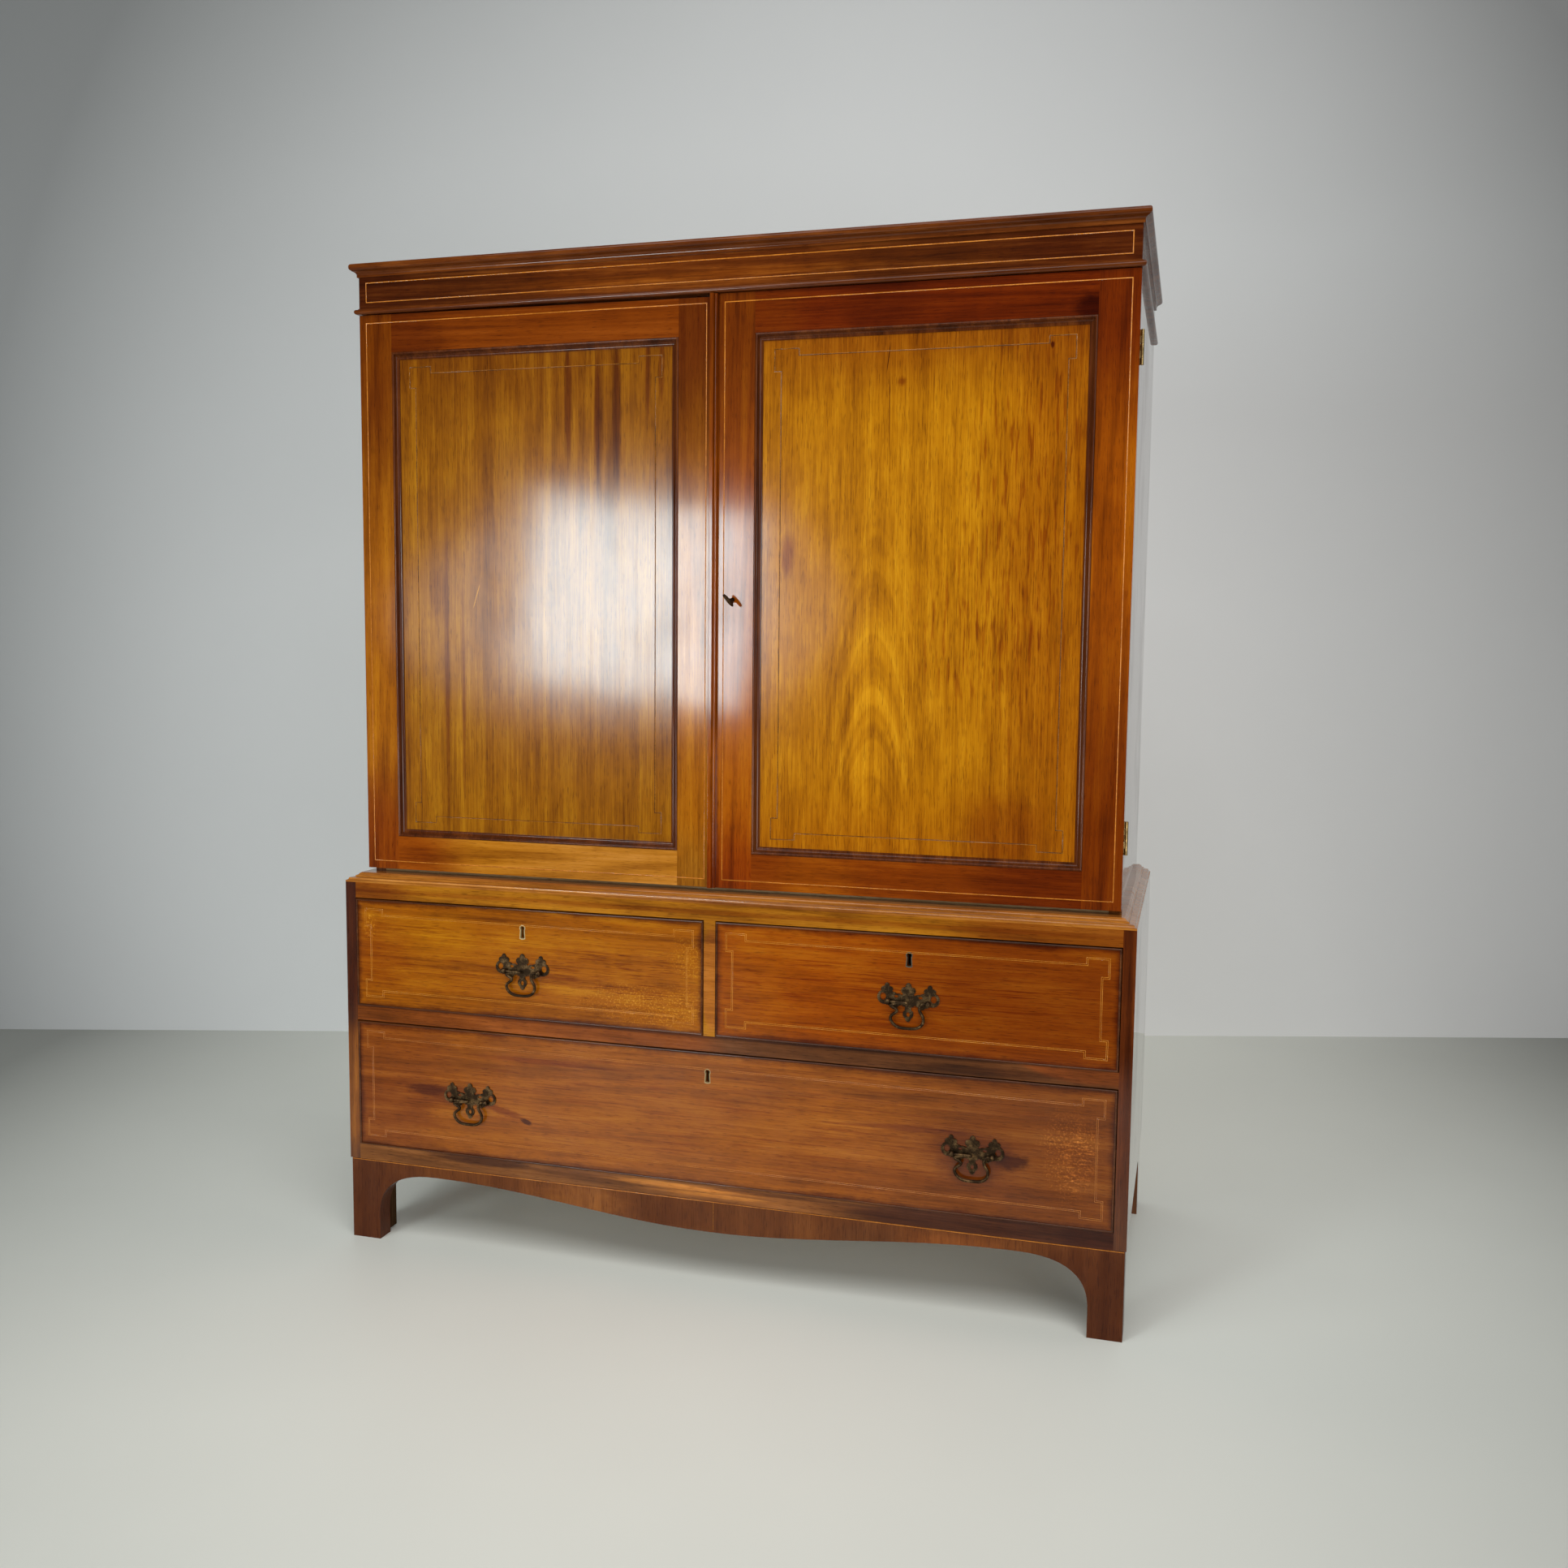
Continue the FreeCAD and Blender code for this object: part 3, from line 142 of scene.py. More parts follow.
class Signal:
    """A number that a node gives, so that sums of nodes are written as sums."""

    def __init__(self, sheet: NodeSheet, socket: bpy.types.NodeSocket) -> None:
        """Wraps an output socket of the sheet's tree."""
        self.sheet = sheet
        self.socket = socket

    def __add__(self, other: "Value") -> "Signal":
        """Sum."""
        return self.sheet.maths("ADD", self, other)

    def __radd__(self, other: float) -> "Signal":
        """Reflected sum."""
        return self.sheet.maths("ADD", other, self)

    def __sub__(self, other: "Value") -> "Signal":
        """Difference."""
        return self.sheet.maths("SUBTRACT", self, other)

    def __rsub__(self, other: float) -> "Signal":
        """Reflected difference."""
        return self.sheet.maths("SUBTRACT", other, self)

    def __mul__(self, other: "Value") -> "Signal":
        """Product."""
        return self.sheet.maths("MULTIPLY", self, other)

    def __rmul__(self, other: float) -> "Signal":
        """Reflected product."""
        return self.sheet.maths("MULTIPLY", other, self)

    def __truediv__(self, other: "Value") -> "Signal":
        """Quotient."""
        return self.sheet.maths("DIVIDE", self, other)

    def __abs__(self) -> "Signal":
        """Distance from nought."""
        return self.sheet.maths("ABSOLUTE", self)

    def root(self) -> "Signal":
        """Square root."""
        return self.sheet.maths("SQRT", self)

    def least(self, other: "Value") -> "Signal":
        """The smaller of two."""
        return self.sheet.maths("MINIMUM", self, other)

    def most(self, other: "Value") -> "Signal":
        """The larger of two."""
        return self.sheet.maths("MAXIMUM", self, other)

    def within(self, low: float, high: float) -> "Signal":
        """The value kept between two limits."""
        return self.most(low).least(high)

    def clamped(self) -> "Signal":
        """The value kept between 0 and 1."""
        return self.sheet.maths("ADD", self, 0.0, clamp=True)

    def step(self, low: float, high: float) -> "Signal":
        """A smooth rise from 0 at low to 1 at high, or a fall where low is the larger.

        Args:
            low: Where the result is 0.
            high: Where the result is 1.

        Returns:
            The eased value.
        """
        ends = (low, high, 0.0, 1.0) if low <= high else (high, low, 1.0, 0.0)
        settings = {"interpolation_type": "SMOOTHSTEP"}
        made = self.sheet.node("ShaderNodeMapRange", settings, {0: self, **dict(enumerate(ends, 1))})
        return Signal(self.sheet, made.outputs[0])


Value = Signal | float
Feed = Signal | bpy.types.NodeSocket | bpy.types.Node | float | tuple

# Where a value becomes a mark: 0 at the first number, 1 at the second.
FACING_EDGES = (0.6, 0.8)
FLECK_EDGES = (0.52, 0.64)
PORE_EDGES = (0.58, 0.70)
LINE_EDGES = (0.38, 0.62)
RUBBED_EDGES = (-0.12, 0.16)
# Noises: scale, count of finer layers and their strength.
RAGGED_NOISE = (1.6, 4.0, 0.65)
FLECK_NOISE = (1.0, 2.0, 0.6)
GRIME_NOISE = (28.0, 5.0, 0.7)
METAL_CLOUD = (90.0, 4.0, 0.6)
METAL_GRAIN = (900.0, 2.0, 0.6)
LINE_CLOUD = (45.0, 3.0, 0.6)
LINE_GRAIN = (500.0, 2.0, 0.6)
# The growth rings' noise along one number: count of finer layers and their strength.
RING_NOISE = (3.0, 0.62)
# The ribbon figure's noise: scale along the grain, count of finer layers and their strength.
RIBBON_NOISE = (1.1, 4.0, 0.62)
# How much each noise gives, in the order in which it is weighed.
WOOD_ROUGHENED = (0.12, 0.10, 0.22)
WOOD_POLISHED = (1.1, 0.5)
WOOD_RAISED = (0.25, -0.8, 0.6)
METAL_RUBBED = (0.7, 0.3)
METAL_RAISED = (0.6, 0.4)
LINE_MIXED = (0.6, 0.4)


def weighed(weights: Sequence[Value], *signals: Signal) -> Signal:
    """The sum of signals, each times its weight."""
    first, *rest = (signal * weight for signal, weight in zip(signals, weights, strict=True))
    return sum(rest, start=first)


class ShaderSheet(NodeSheet):
    """One material's node tree and the ways to add to it."""

    def __init__(self, name: str) -> None:
        """Makes an empty material.

        Args:
            name: The material's name.
        """
        self.material = bpy.data.materials.new(name)
        self.material.use_nodes = True
        super().__init__(self.material.node_tree)

    def coordinates(self, kind: str) -> tuple[Signal, Signal, Signal]:
        """The three parts of a texture coordinate.

        Args:
            kind: The coordinate's name.

        Returns:
            Its x, y and z.
        """
        read = self.node("ShaderNodeTexCoord").outputs[kind]
        parts = self.node("ShaderNodeSeparateXYZ", None, {0: read})
        return tuple(Signal(self, part) for part in parts.outputs)

    def place(self) -> tuple[Signal, Signal, Signal]:
        """The three object coordinates."""
        return self.coordinates("Object")

    def facing(self, axis: int) -> Signal:
        """1 where the surface looks along an axis, given by its number, and 0 elsewhere."""
        return abs(self.coordinates("Normal")[axis]).step(*FACING_EDGES)

    def noise(self, vector: bpy.types.NodeSocket, scale: float, detail: float, rough: float) -> Signal:
        """Noise in space about 0.5, with finer layers as many as detail and as strong as rough."""
        inputs = {"Vector": vector, "Scale": scale, "Detail": detail, "Roughness": rough}
        return Signal(self, self.node("ShaderNodeTexNoise", None, inputs).outputs[0])

    def band_noise(self, value: Signal, detail: float, rough: float) -> Signal:
        """Noise along one number, about 0.5.

        Args:
            value: The number.
            detail: How many finer layers it has.
            rough: How strong the finer layers are.

        Returns:
            The noise.
        """
        inputs = {"W": value, "Scale": 1.0, "Detail": detail, "Roughness": rough}
        made = self.node("ShaderNodeTexNoise", {"noise_dimensions": "1D"}, inputs)
        return Signal(self, made.outputs[0])

    def ramp(self, factor: Signal, stops: Sequence[tuple[float, Colour]]) -> bpy.types.NodeSocket:
        """A colour read off a ramp of places and colours."""
        return self.node("ShaderNodeValToRGB", {"stops": stops}, {0: factor}).outputs[0]

    def mix(self, factor: Value, first: Feed, second: Feed, blend: str = "MIX") -> bpy.types.NodeSocket:
        """Two colours mixed, with the second's share as the factor."""
        settings = {"data_type": "RGBA", "blend_type": blend}
        return self.node("ShaderNodeMix", settings, {0: factor, 6: first, 7: second}).outputs[2]

    def bump(self, height: Signal, depth: float) -> bpy.types.NodeSocket:
        """A normal bumped by a height of 0 to 1, where 1 stands the depth in metres above 0."""
        inputs = {"Height": height, "Distance": depth, "Strength": 1.0}
        return self.node("ShaderNodeBump", None, inputs).outputs[0]

    def surface(self, inputs: dict) -> bpy.types.Material:
        """Ends the sheet in a Principled surface with these inputs."""
        return self.close(self.node("ShaderNodeBsdfPrincipled", None, inputs))

    def close(self, shader: bpy.types.Node) -> bpy.types.Material:
        """Ends the sheet in a shader and gives its material."""
        self.node("ShaderNodeOutputMaterial", None, {0: shader.outputs[0]})
        return self.material


# ------------------------------------------------------------------- finishes


class Grain(Enum):
    """Which frame axis runs across a board's face, into its depth and along its grain."""

    FRONT_UPRIGHT = (0, 1, 2)
    FRONT_LEVEL = (2, 1, 0)
    SIDE_UPRIGHT = (1, 0, 2)
    FLAT_LEVEL = (1, 2, 0)
    FLAT_DEEP = (0, 2, 1)


@dataclass(frozen=True)
class Patch:
    """A stain, a worn place, a change of tone, or a painted highlight, reflection or shadow on a board's
    face.
    """

    centre: Spot
    reach: Spot
    tone: Colour
    ragged: float = 0.5
    soft: float = 0.9
    turn: float = 0.0
    flecks: Spot | None = None

    def mask(self, sheet: ShaderSheet, x: Signal, z: Signal) -> Signal:
        """Where the patch lies.

        Args:
            sheet: The sheet it is drawn on.
            x: The first coordinate of the face.
            z: The second coordinate of the face.

        Returns:
            1 inside, 0 outside.
        """
        cosine = math.cos(self.turn)
        sine = math.sin(self.turn)
        run = x - self.centre[0]
        rise = z - self.centre[1]
        u = run * (cosine / self.reach[0]) + rise * (sine / self.reach[0])
        v = rise * (cosine / self.reach[1]) - run * (sine / self.reach[1])
        cloud = sheet.noise(sheet.vector(u, v, self.centre[0]), *RAGGED_NOISE)
        distance = (u * u + v * v).root() + (cloud - 0.5) * (2.0 * self.ragged)
        inside = distance.step(1.0 + self.soft / 2.0, 1.0 - self.soft / 2.0)
        if self.flecks:
            specks = sheet.noise(sheet.vector(x * self.flecks[0], z * self.flecks[1], 0.0), *FLECK_NOISE)
            inside = inside * specks.step(*FLECK_EDGES)
        return inside


@dataclass(frozen=True)
class Border:
    """Grime that gathers along the edges of a face."""

    low: Spot
    high: Spot
    width: float = 0.013
    ragged: float = 0.9
    drawn_out: float = 0.5
    tone: Colour = (0.38, 0.26, 0.22)

    def mask(self, sheet: ShaderSheet, x: Signal, z: Signal) -> Signal:
        """Where the grime lies.

        Args:
            sheet: The sheet it is drawn on.
            x: The first coordinate of the face.
            z: The second coordinate of the face.

        Returns:
            1 at the edges, 0 inside.
        """
        level = (x - self.low[0]).least(self.high[0] - x)
        upright = (z - self.low[1]).least(self.high[1] - z)
        cloud = sheet.noise(sheet.vector(x * self.drawn_out, z, 0.0), *GRIME_NOISE)
        reach = level.least(upright) - (cloud - 0.5) * (2.0 * self.ragged * self.width)
        return reach.step(self.width, 0.0)


@dataclass(frozen=True)
class Weave:
    """Noise drawn out along a board's grain."""

    across: float
    along: float
    detail: float
    rough: float = 0.5

    def over(self, sheet: ShaderSheet, place: Sequence[Signal]) -> Signal:
        """The noise at a place.

        Args:
            sheet: The board's sheet.
            place: The place across, into and along the grain.

        Returns:
            A value about 0.5.
        """
        across, depth, along = place
        stretched = sheet.vector(across * self.across, depth * self.across, along * self.along)
        return sheet.noise(stretched, 1.0, self.detail, self.rough)


WANDER = Weave(4.0, 1.3, 2.0)
FIBRE = Weave(420.0, 9.0, 3.0, 0.65)
STREAK = Weave(110.0, 3.0, 3.0, 0.65)
MOTTLE = Weave(30.0, 12.0, 3.0, 0.6)
PORES = Weave(900.0, 55.0, 1.0)
WEAR = Weave(7.0, 5.0, 3.0, 0.6)


@dataclass(frozen=True)
class WoodFinish:
    """A board's figure, colour, wear and polish, with painted highlights, reflections and shadows on some
    boards.
    """

    name: str
    grain: Grain
    dark: Colour
    middle: Colour
    light: Colour
    pith: Point = (0.0, 0.9, 0.0)
    ring_spacing: float = 0.011
    taper: float = 0.03
    wander: float = 1.6
    rings: float = 0.7
    arched: Patch | None = None
    arched_rings: float = 0.0
    ribbon: float = 0.7
    ribbon_width: float = 0.030
    fibre: float = 0.5
    streak: float = 0.45
    mottle: float = 0.5
    stops: tuple[float, float, float] = (0.18, 0.5, 0.82)
    pores: float = 0.5
    pore_tone: Colour = (0.35, 0.25, 0.2)
    roughness: float = 0.42
    coat: float = 0.5
    coat_roughness: float = 0.09
    sheen: float = 0.015
    relief: float = 0.12 * MILLIMETRE
    patches: tuple[Patch, ...] = ()
    border: Border | None = None
    boxed: bool = False

    def material(self) -> bpy.types.Material:
        """Makes the finish.

        Returns:
            The material.
        """
        sheet = ShaderSheet(self.name)
        frame_place = sheet.place()
        place = tuple(frame_place[axis] for axis in self.grain.value)
        face = (place[2], place[0]) if self.grain is Grain.FRONT_LEVEL else (place[0], place[2])
        if self.boxed:
            turned = sheet.facing(1)
            place = tuple(place[i] + turned * (place[(i + 1) % 3] - place[i]) for i in range(3))
        fibre = FIBRE.over(sheet, place) - 0.5
        streak = STREAK.over(sheet, place) - 0.5
        pores = PORES.over(sheet, place).step(*PORE_EDGES)
        wear = WEAR.over(sheet, place) - 0.5
        polish = (weighed(WOOD_POLISHED, wear, streak) + 1.0) * self.coat
        return sheet.surface(
            {
                "Base Color": self._colour(sheet, place, face, fibre, streak, pores),
                "Roughness": (weighed(WOOD_ROUGHENED, pores, fibre, wear) + self.roughness).clamped(),
                "Specular IOR Level": self.sheen,
                "Coat Weight": polish.clamped(),
                "Coat Roughness": self.coat_roughness,
                "Normal": sheet.bump(weighed(WOOD_RAISED, fibre, pores, wear) + 0.5, self.relief),
            }
        )

    def _colour(
        self,
        sheet: ShaderSheet,
        place: Sequence[Signal],
        face: tuple[Signal, Signal],
        fibre: Signal,
        streak: Signal,
        pores: Signal,
    ) -> bpy.types.NodeSocket:
        """The board's colour with its figure, patches and grime.

        Args:
            sheet: The board's sheet.
            place: The place across, into and along the grain.
            face: The place on the face.
            fibre: The fine fibre, about 0.
            streak: The streaks, about 0.
            pores: 1 in a pore, 0 elsewhere.

        Returns:
            The colour's socket.
        """
        ring_share = self.rings
        if self.arched:
            ring_share = self.arched.mask(sheet, *face) * self.arched_rings + self.rings
        ribbon = Weave(1.0 / self.ribbon_width, *RIBBON_NOISE).over(sheet, place) - 0.5
        mottle = MOTTLE.over(sheet, place) - 0.5
        weights = (ring_share, self.ribbon, self.fibre, self.streak, self.mottle)
        figure = weighed(weights, self._ring_figure(sheet, place), ribbon, fibre, streak, mottle) + 0.5
        colour = sheet.ramp(figure, tuple(zip(self.stops, (self.dark, self.middle, self.light))))
        colour = sheet.mix(pores * self.pores, colour, self.pore_tone, "MULTIPLY")
        for mark in (*self.patches, self.border) if self.border else self.patches:
            colour = sheet.mix(mark.mask(sheet, *face), colour, mark.tone, "MULTIPLY")
        return colour

    def _ring_figure(self, sheet: ShaderSheet, place: Sequence[Signal]) -> Signal:
        """The cut growth rings, about 0.

        Args:
            sheet: The board's sheet.
            place: The place across, into and along the grain.

        Returns:
            The rings' figure.
        """
        wander = WANDER.over(sheet, place) - 0.5
        run, sink, rise = (part - centre for part, centre in zip(place, self.pith))
        radius = (run * run + sink * sink).root() + rise * self.taper
        return sheet.band_noise(radius / self.ring_spacing + wander * self.wander, *RING_NOISE) - 0.5


@dataclass(frozen=True)
class MetalFinish:
    """Handled metal: bright where rubbed, dark where tarnish stays."""

    name: str
    dark: Colour
    bright: Colour
    roughness: float
    tarnish: float
    polished: Patch | None = None
    polished_tone: Colour = (0.50, 0.36, 0.16)
    polished_metallic: float = 0.4
    polished_least: float = 0.6
    dulled: float = 0.16
    grainy: float = 0.2
    relief: float = 0.15 * MILLIMETRE

    def material(self) -> bpy.types.Material:
        """Makes the finish.

        Returns:
            The material.
        """
        sheet = ShaderSheet(self.name)
        x, y, z = sheet.place()
        here = sheet.vector(x, y, z)
        cloud = sheet.noise(here, *METAL_CLOUD)
        fine = sheet.noise(here, *METAL_GRAIN)
        rubbed = weighed(METAL_RUBBED, cloud, fine).step(*(self.tarnish + edge for edge in RUBBED_EDGES))
        colour = sheet.mix(rubbed, self.dark, self.bright)
        metallic = 1.0
        if self.polished:
            worn = self.polished.mask(sheet, x, z)
            colour = sheet.mix(worn * (cloud * 0.5 + self.polished_least), colour, self.polished_tone)
            metallic = worn * (self.polished_metallic - 1.0) + 1.0
        roughness = self.roughness + self.dulled - rubbed * self.dulled + (fine - 0.5) * self.grainy
        return sheet.surface(
            {
                "Base Color": colour,
                "Metallic": metallic,
                "Roughness": roughness.clamped(),
                "Normal": sheet.bump(weighed(METAL_RAISED, cloud, fine), self.relief),
            }
        )


@dataclass(frozen=True)
class LineFinish:
    """A thin inlaid line of pale or dyed wood under the polish."""

    name: str
    dark: Colour
    light: Colour
    roughness: float = 0.42
    grainy: float = 0.3
    sheen: float = 0.03
    coat: float = 0.6
    coat_roughness: float = 0.10
    relief: float = 0.06 * MILLIMETRE

    def material(self) -> bpy.types.Material:
        """Makes the finish.

        Returns:
            The material.
        """
        sheet = ShaderSheet(self.name)
        here = sheet.vector(*sheet.place())
        fine = sheet.noise(here, *LINE_GRAIN)
        share = weighed(LINE_MIXED, sheet.noise(here, *LINE_CLOUD), fine).step(*LINE_EDGES)
        return sheet.surface(
            {
                "Base Color": sheet.mix(share, self.dark, self.light),
                "Roughness": (self.roughness + (fine - 0.5) * self.grainy).clamped(),
                "Specular IOR Level": self.sheen,
                "Coat Weight": self.coat,
                "Coat Roughness": self.coat_roughness,
                "Normal": sheet.bump(fine, self.relief),
            }
        )


Finish = WoodFinish | MetalFinish | LineFinish


@cache
def made(finish: Finish) -> bpy.types.Material:
    """A finish's material, which is made only once."""
    return finish.material()


def dress(finish: Finish, *nodes: str) -> None:
    """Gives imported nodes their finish.

    Args:
        finish: The finish.
        nodes: The nodes' names.
    """
    for node in nodes:
        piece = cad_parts[node]
        if not piece.material_slots:
            piece.data.materials.append(made(finish))
        for held in piece.material_slots:
            held.material = made(finish)
        LOG.info("%s dressed in %s", node, finish.name)


# ----------------------------------------------------------- lines and screws

FORWARDS: Point = (0.0, -1.0, 0.0)
BACKWARDS: Point = (0.0, 1.0, 0.0)
# Curve to Mesh narrows a run between two square corners by this much.
MITRE_LOSS = math.sqrt(2.0)
SCREW_SIDES = 24
SCREW_SEED = 11


class GeometrySheet(NodeSheet):
    """One Geometry Nodes tree, with a start, sizes and a finish as its inputs."""

    def __init__(self, name: str, start: str, *sizes: str) -> None:
        """Makes a tree that holds only its inputs.

        Args:
            name: The tree's name.
            start: The name of the geometry that it starts from.
            sizes: The names of its sizes.
        """
        super().__init__(bpy.data.node_groups.new(name, "GeometryNodeTree"))
        kinds = {start: "Geometry", **dict.fromkeys(sizes, "Float"), "Finish": "Material"}
        sockets = self.tree.interface
        self.identifiers = {
            key: sockets.new_socket(name=key, in_out="INPUT", socket_type="NodeSocket" + kind).identifier
            for key, kind in kinds.items()
        }
        sockets.new_socket(name="Shape", in_out="OUTPUT", socket_type="NodeSocketGeometry")
        self.given = self.node("NodeGroupInput").outputs

    def size(self, name: str) -> Signal:
        """One of the sizes."""
        return Signal(self, self.given[name])

    def close(self, shape: bpy.types.Node) -> None:
        """Ends the tree in real geometry with its finish.

        Args:
            shape: The node that makes the shape.
        """
        real = self.node("GeometryNodeRealizeInstances", None, {0: shape})
        coated = {"Geometry": real, "Material": self.given["Finish"]}
        self.node("NodeGroupOutput", None, {0: self.node("GeometryNodeSetMaterial", None, coated)})

    def run(self, piece: bpy.types.Object, values: dict) -> None:
        """Turns an object into what the tree makes of it, as a plain mesh whose faces point outwards.

        Args:
            piece: The object, already in the scene.
            values: The value of each named input.
        """
        modifier = piece.modifiers.new("maker", "NODES")
        modifier.node_group = self.tree
        for name, value in values.items():
            modifier[self.identifiers[name]] = value
        graph = bpy.context.evaluated_depsgraph_get()
        mesh = bpy.data.meshes.new_from_object(piece.evaluated_get(graph), depsgraph=graph)
        piece.modifiers.clear()
        piece.data = mesh
        shape = bmesh.new()
        shape.from_mesh(mesh)
        bmesh.ops.recalc_face_normals(shape, faces=shape.faces)
        shape.to_mesh(mesh)
        shape.free()


def placed(name: str, data: bpy.types.ID) -> bpy.types.Object:
    """An object at the origin, in the scene.

    Args:
        name: Its name.
        data: Its mesh, lamp or camera.

    Returns:
        The object.
    """
    piece = bpy.data.objects.new(name, data)
    bpy.context.scene.collection.objects.link(piece)
    return piece


def mesh_piece(
    name: str, points: Sequence[Point], edges: Sequence = (), faces: Sequence = ()
) -> bpy.types.Object:
    """A mesh object at the origin, in the scene.

    Args:
        name: Its name.
        points: Its points.
        edges: Its loose edges, as pairs of point numbers.
        faces: Its faces, as point numbers in order.

    Returns:
        The object.
    """
    mesh = bpy.data.meshes.new(name)
    mesh.from_pydata(list(points), list(edges), list(faces))
    return placed(name, mesh)


def plain_loop(low: Spot, high: Spot) -> list[Spot]:
    """The corners of an upright rectangle in order, from its lower left and upper right ones."""
    return [low, (high[0], low[1]), high, (low[0], high[1])]


def drawn_in(low: Spot, high: Spot, inset: Spot) -> tuple[Spot, Spot]:
    """The lower left and upper right corners of a rectangle, each moved inwards."""
    return (low[0] + inset[0], low[1] + inset[1]), (high[0] - inset[0], high[1] - inset[1])


def eared_loop(low: Spot, high: Spot, ear: Spot, step: Spot) -> list[Spot]:
    """A rectangle whose corners stand out as square ears.

    Args:
        low: The lower left ear's outer corner.
        high: The upper right ear's outer corner.
        ear: An ear's width and height.
        step: How far the level and the upright runs between the ears lie further in.

    Returns:
        The corners in order.
    """
    spots: list[Spot] = []
    ways = ((1, 1), (-1, 1), (-1, -1), (1, -1))
    for number, ((x, z), (right, up)) in enumerate(zip(plain_loop(low, high), ways)):
        turn = [
            (x + right * step[0], z + up * ear[1]),
            (x, z + up * ear[1]),
            (x, z),
            (x + right * ear[0], z),
            (x + right * ear[0], z + up * step[1]),
        ]
        spots.extend(turn if number % 2 == 0 else reversed(turn))
    return spots


@cache
def line_sheet() -> GeometrySheet:
    """The tree that turns paths into lines of square section.

    Returns:
        The tree, with inputs Path, Width, Depth and Finish.
    """
    sheet = GeometrySheet("inlaid_line", "Path", "Width", "Depth")
    path = sheet.node("GeometryNodeMeshToCurve", None, {"Mesh": sheet.given["Path"]})
    facing = sheet.node("GeometryNodeSetCurveNormal", {"mode": "FREE"}, {"Curve": path, "Normal": FORWARDS})
    sides = {"Width": sheet.size("Depth"), "Height": sheet.size("Width")}
    section = sheet.node("GeometryNodeCurvePrimitiveQuadrilateral", {"mode": "RECTANGLE"}, sides)
    swept = {"Curve": facing, "Profile Curve": section, "Fill Caps": True}
    sheet.close(sheet.node("GeometryNodeCurveToMesh", None, swept))
    return sheet


@cache
def screw_sheet() -> GeometrySheet:
    """The tree that sets a slotted head on each place, turned by chance from a fixed seed.

    Returns:
        The tree, with inputs Places, Radius, Thickness, Slot Width, Slot Depth and Finish.
    """
    sheet = GeometrySheet("screw_heads", "Places", "Radius", "Thickness", "Slot Width", "Slot Depth")
    radius = sheet.size("Radius")
    thickness = sheet.size("Thickness")
    head_sizes = {"Vertices": SCREW_SIDES, "Radius": radius, "Depth": thickness}
    disc = sheet.node("GeometryNodeMeshCylinder", None, head_sizes)
    slot_size = sheet.vector(radius * 3.0, sheet.size("Slot Width"), sheet.size("Slot Depth") * 2.0)
    cutter = sheet.node("GeometryNodeMeshCube", None, {"Size": slot_size})
    lift = sheet.vector(0.0, 0.0, thickness * 0.5)
    raised = sheet.node("GeometryNodeTransform", None, {"Geometry": cutter, "Translation": lift})
    shapes = {"Mesh 1": disc, "Mesh 2": raised}
    head = sheet.node("GeometryNodeMeshBoolean", {"operation": "DIFFERENCE"}, shapes)
    facing = sheet.node("GeometryNodeInputNamedAttribute", {"data_type": "FLOAT_VECTOR"}, {"Name": "facing"})
    aligned = sheet.node("FunctionNodeAlignRotationToVector", {"axis": "Z"}, {"Vector": facing})
    chance = sheet.node("FunctionNodeRandomValue", {"data_type": "FLOAT"}, {"Seed": SCREW_SEED}).outputs[1]
    spin = sheet.vector(0.0, 0.0, Signal(sheet, chance) * math.pi)
    turn = sheet.node("FunctionNodeEulerToRotation", None, {0: spin})
    turned = {"Rotation": aligned, "Rotate By": turn}
    rotation = sheet.node("FunctionNodeRotateRotation", {"rotation_space": "LOCAL"}, turned)
    heads = {"Points": sheet.given["Places"], "Instance": head, "Rotation": rotation}
    sheet.close(sheet.node("GeometryNodeInstanceOnPoints", None, heads))
    return sheet


@dataclass
class LineInlay:
    """Square-cornered inlaid lines of one body, let into its front faces."""

    name: str
    body: str
    finish: LineFinish
    width: float = 1.5 * MILLIMETRE
    sunk: float = 0.4 * MILLIMETRE
    proud: float = 0.12 * MILLIMETRE
    points: list[Point] = field(default_factory=list)
    edges: list[tuple[int, int]] = field(default_factory=list)

    def add_run(self, spots: Sequence[Spot], face_y: float, closed: bool = True) -> None:
        """Adds a line of straight runs on an upright face.

        Args:
            spots: Its corners, as x and z.
            face_y: The face's place in depth.
            closed: Whether the line returns to its start.
        """
        first = len(self.points)
        middle = face_y + (self.sunk - self.proud) / 2.0
        self.points.extend((x, middle, z) for x, z in spots)
        last = len(self.points) - 1
        self.edges.extend((i, i + 1) for i in range(first, last))
        if closed:
            self.edges.append((last, first))

    def add_eared(self, low: Spot, high: Spot, ear: Spot, step: Spot, face_y: float, inset: float) -> None:
        """Adds a line with eared corners.

        Args:
            low: The lower left ear's outer corner.
            high: The upper right ear's outer corner.
            ear: The ears' width and height.
            step: How far the runs between the ears lie further in.
            face_y: The face's place in depth.
            inset: How far inside those measures the line runs.
        """
        inner_ear = (ear[0] - 2.0 * inset, ear[1] - 2.0 * inset)
        self.add_run(eared_loop(*drawn_in(low, high, (inset, inset)), inner_ear, step), face_y)

    def build(self) -> None:
        """Makes the lines."""
        piece = mesh_piece(self.name, self.points, self.edges)
        sizes = {"Width": self.width * MITRE_LOSS, "Depth": self.sunk + self.proud}
        line_sheet().run(piece, sizes | {"Finish": made(self.finish)})
        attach(piece, self.body)
        LOG.info("%s inlaid on %s, %d corners", self.name, self.body, len(self.points))


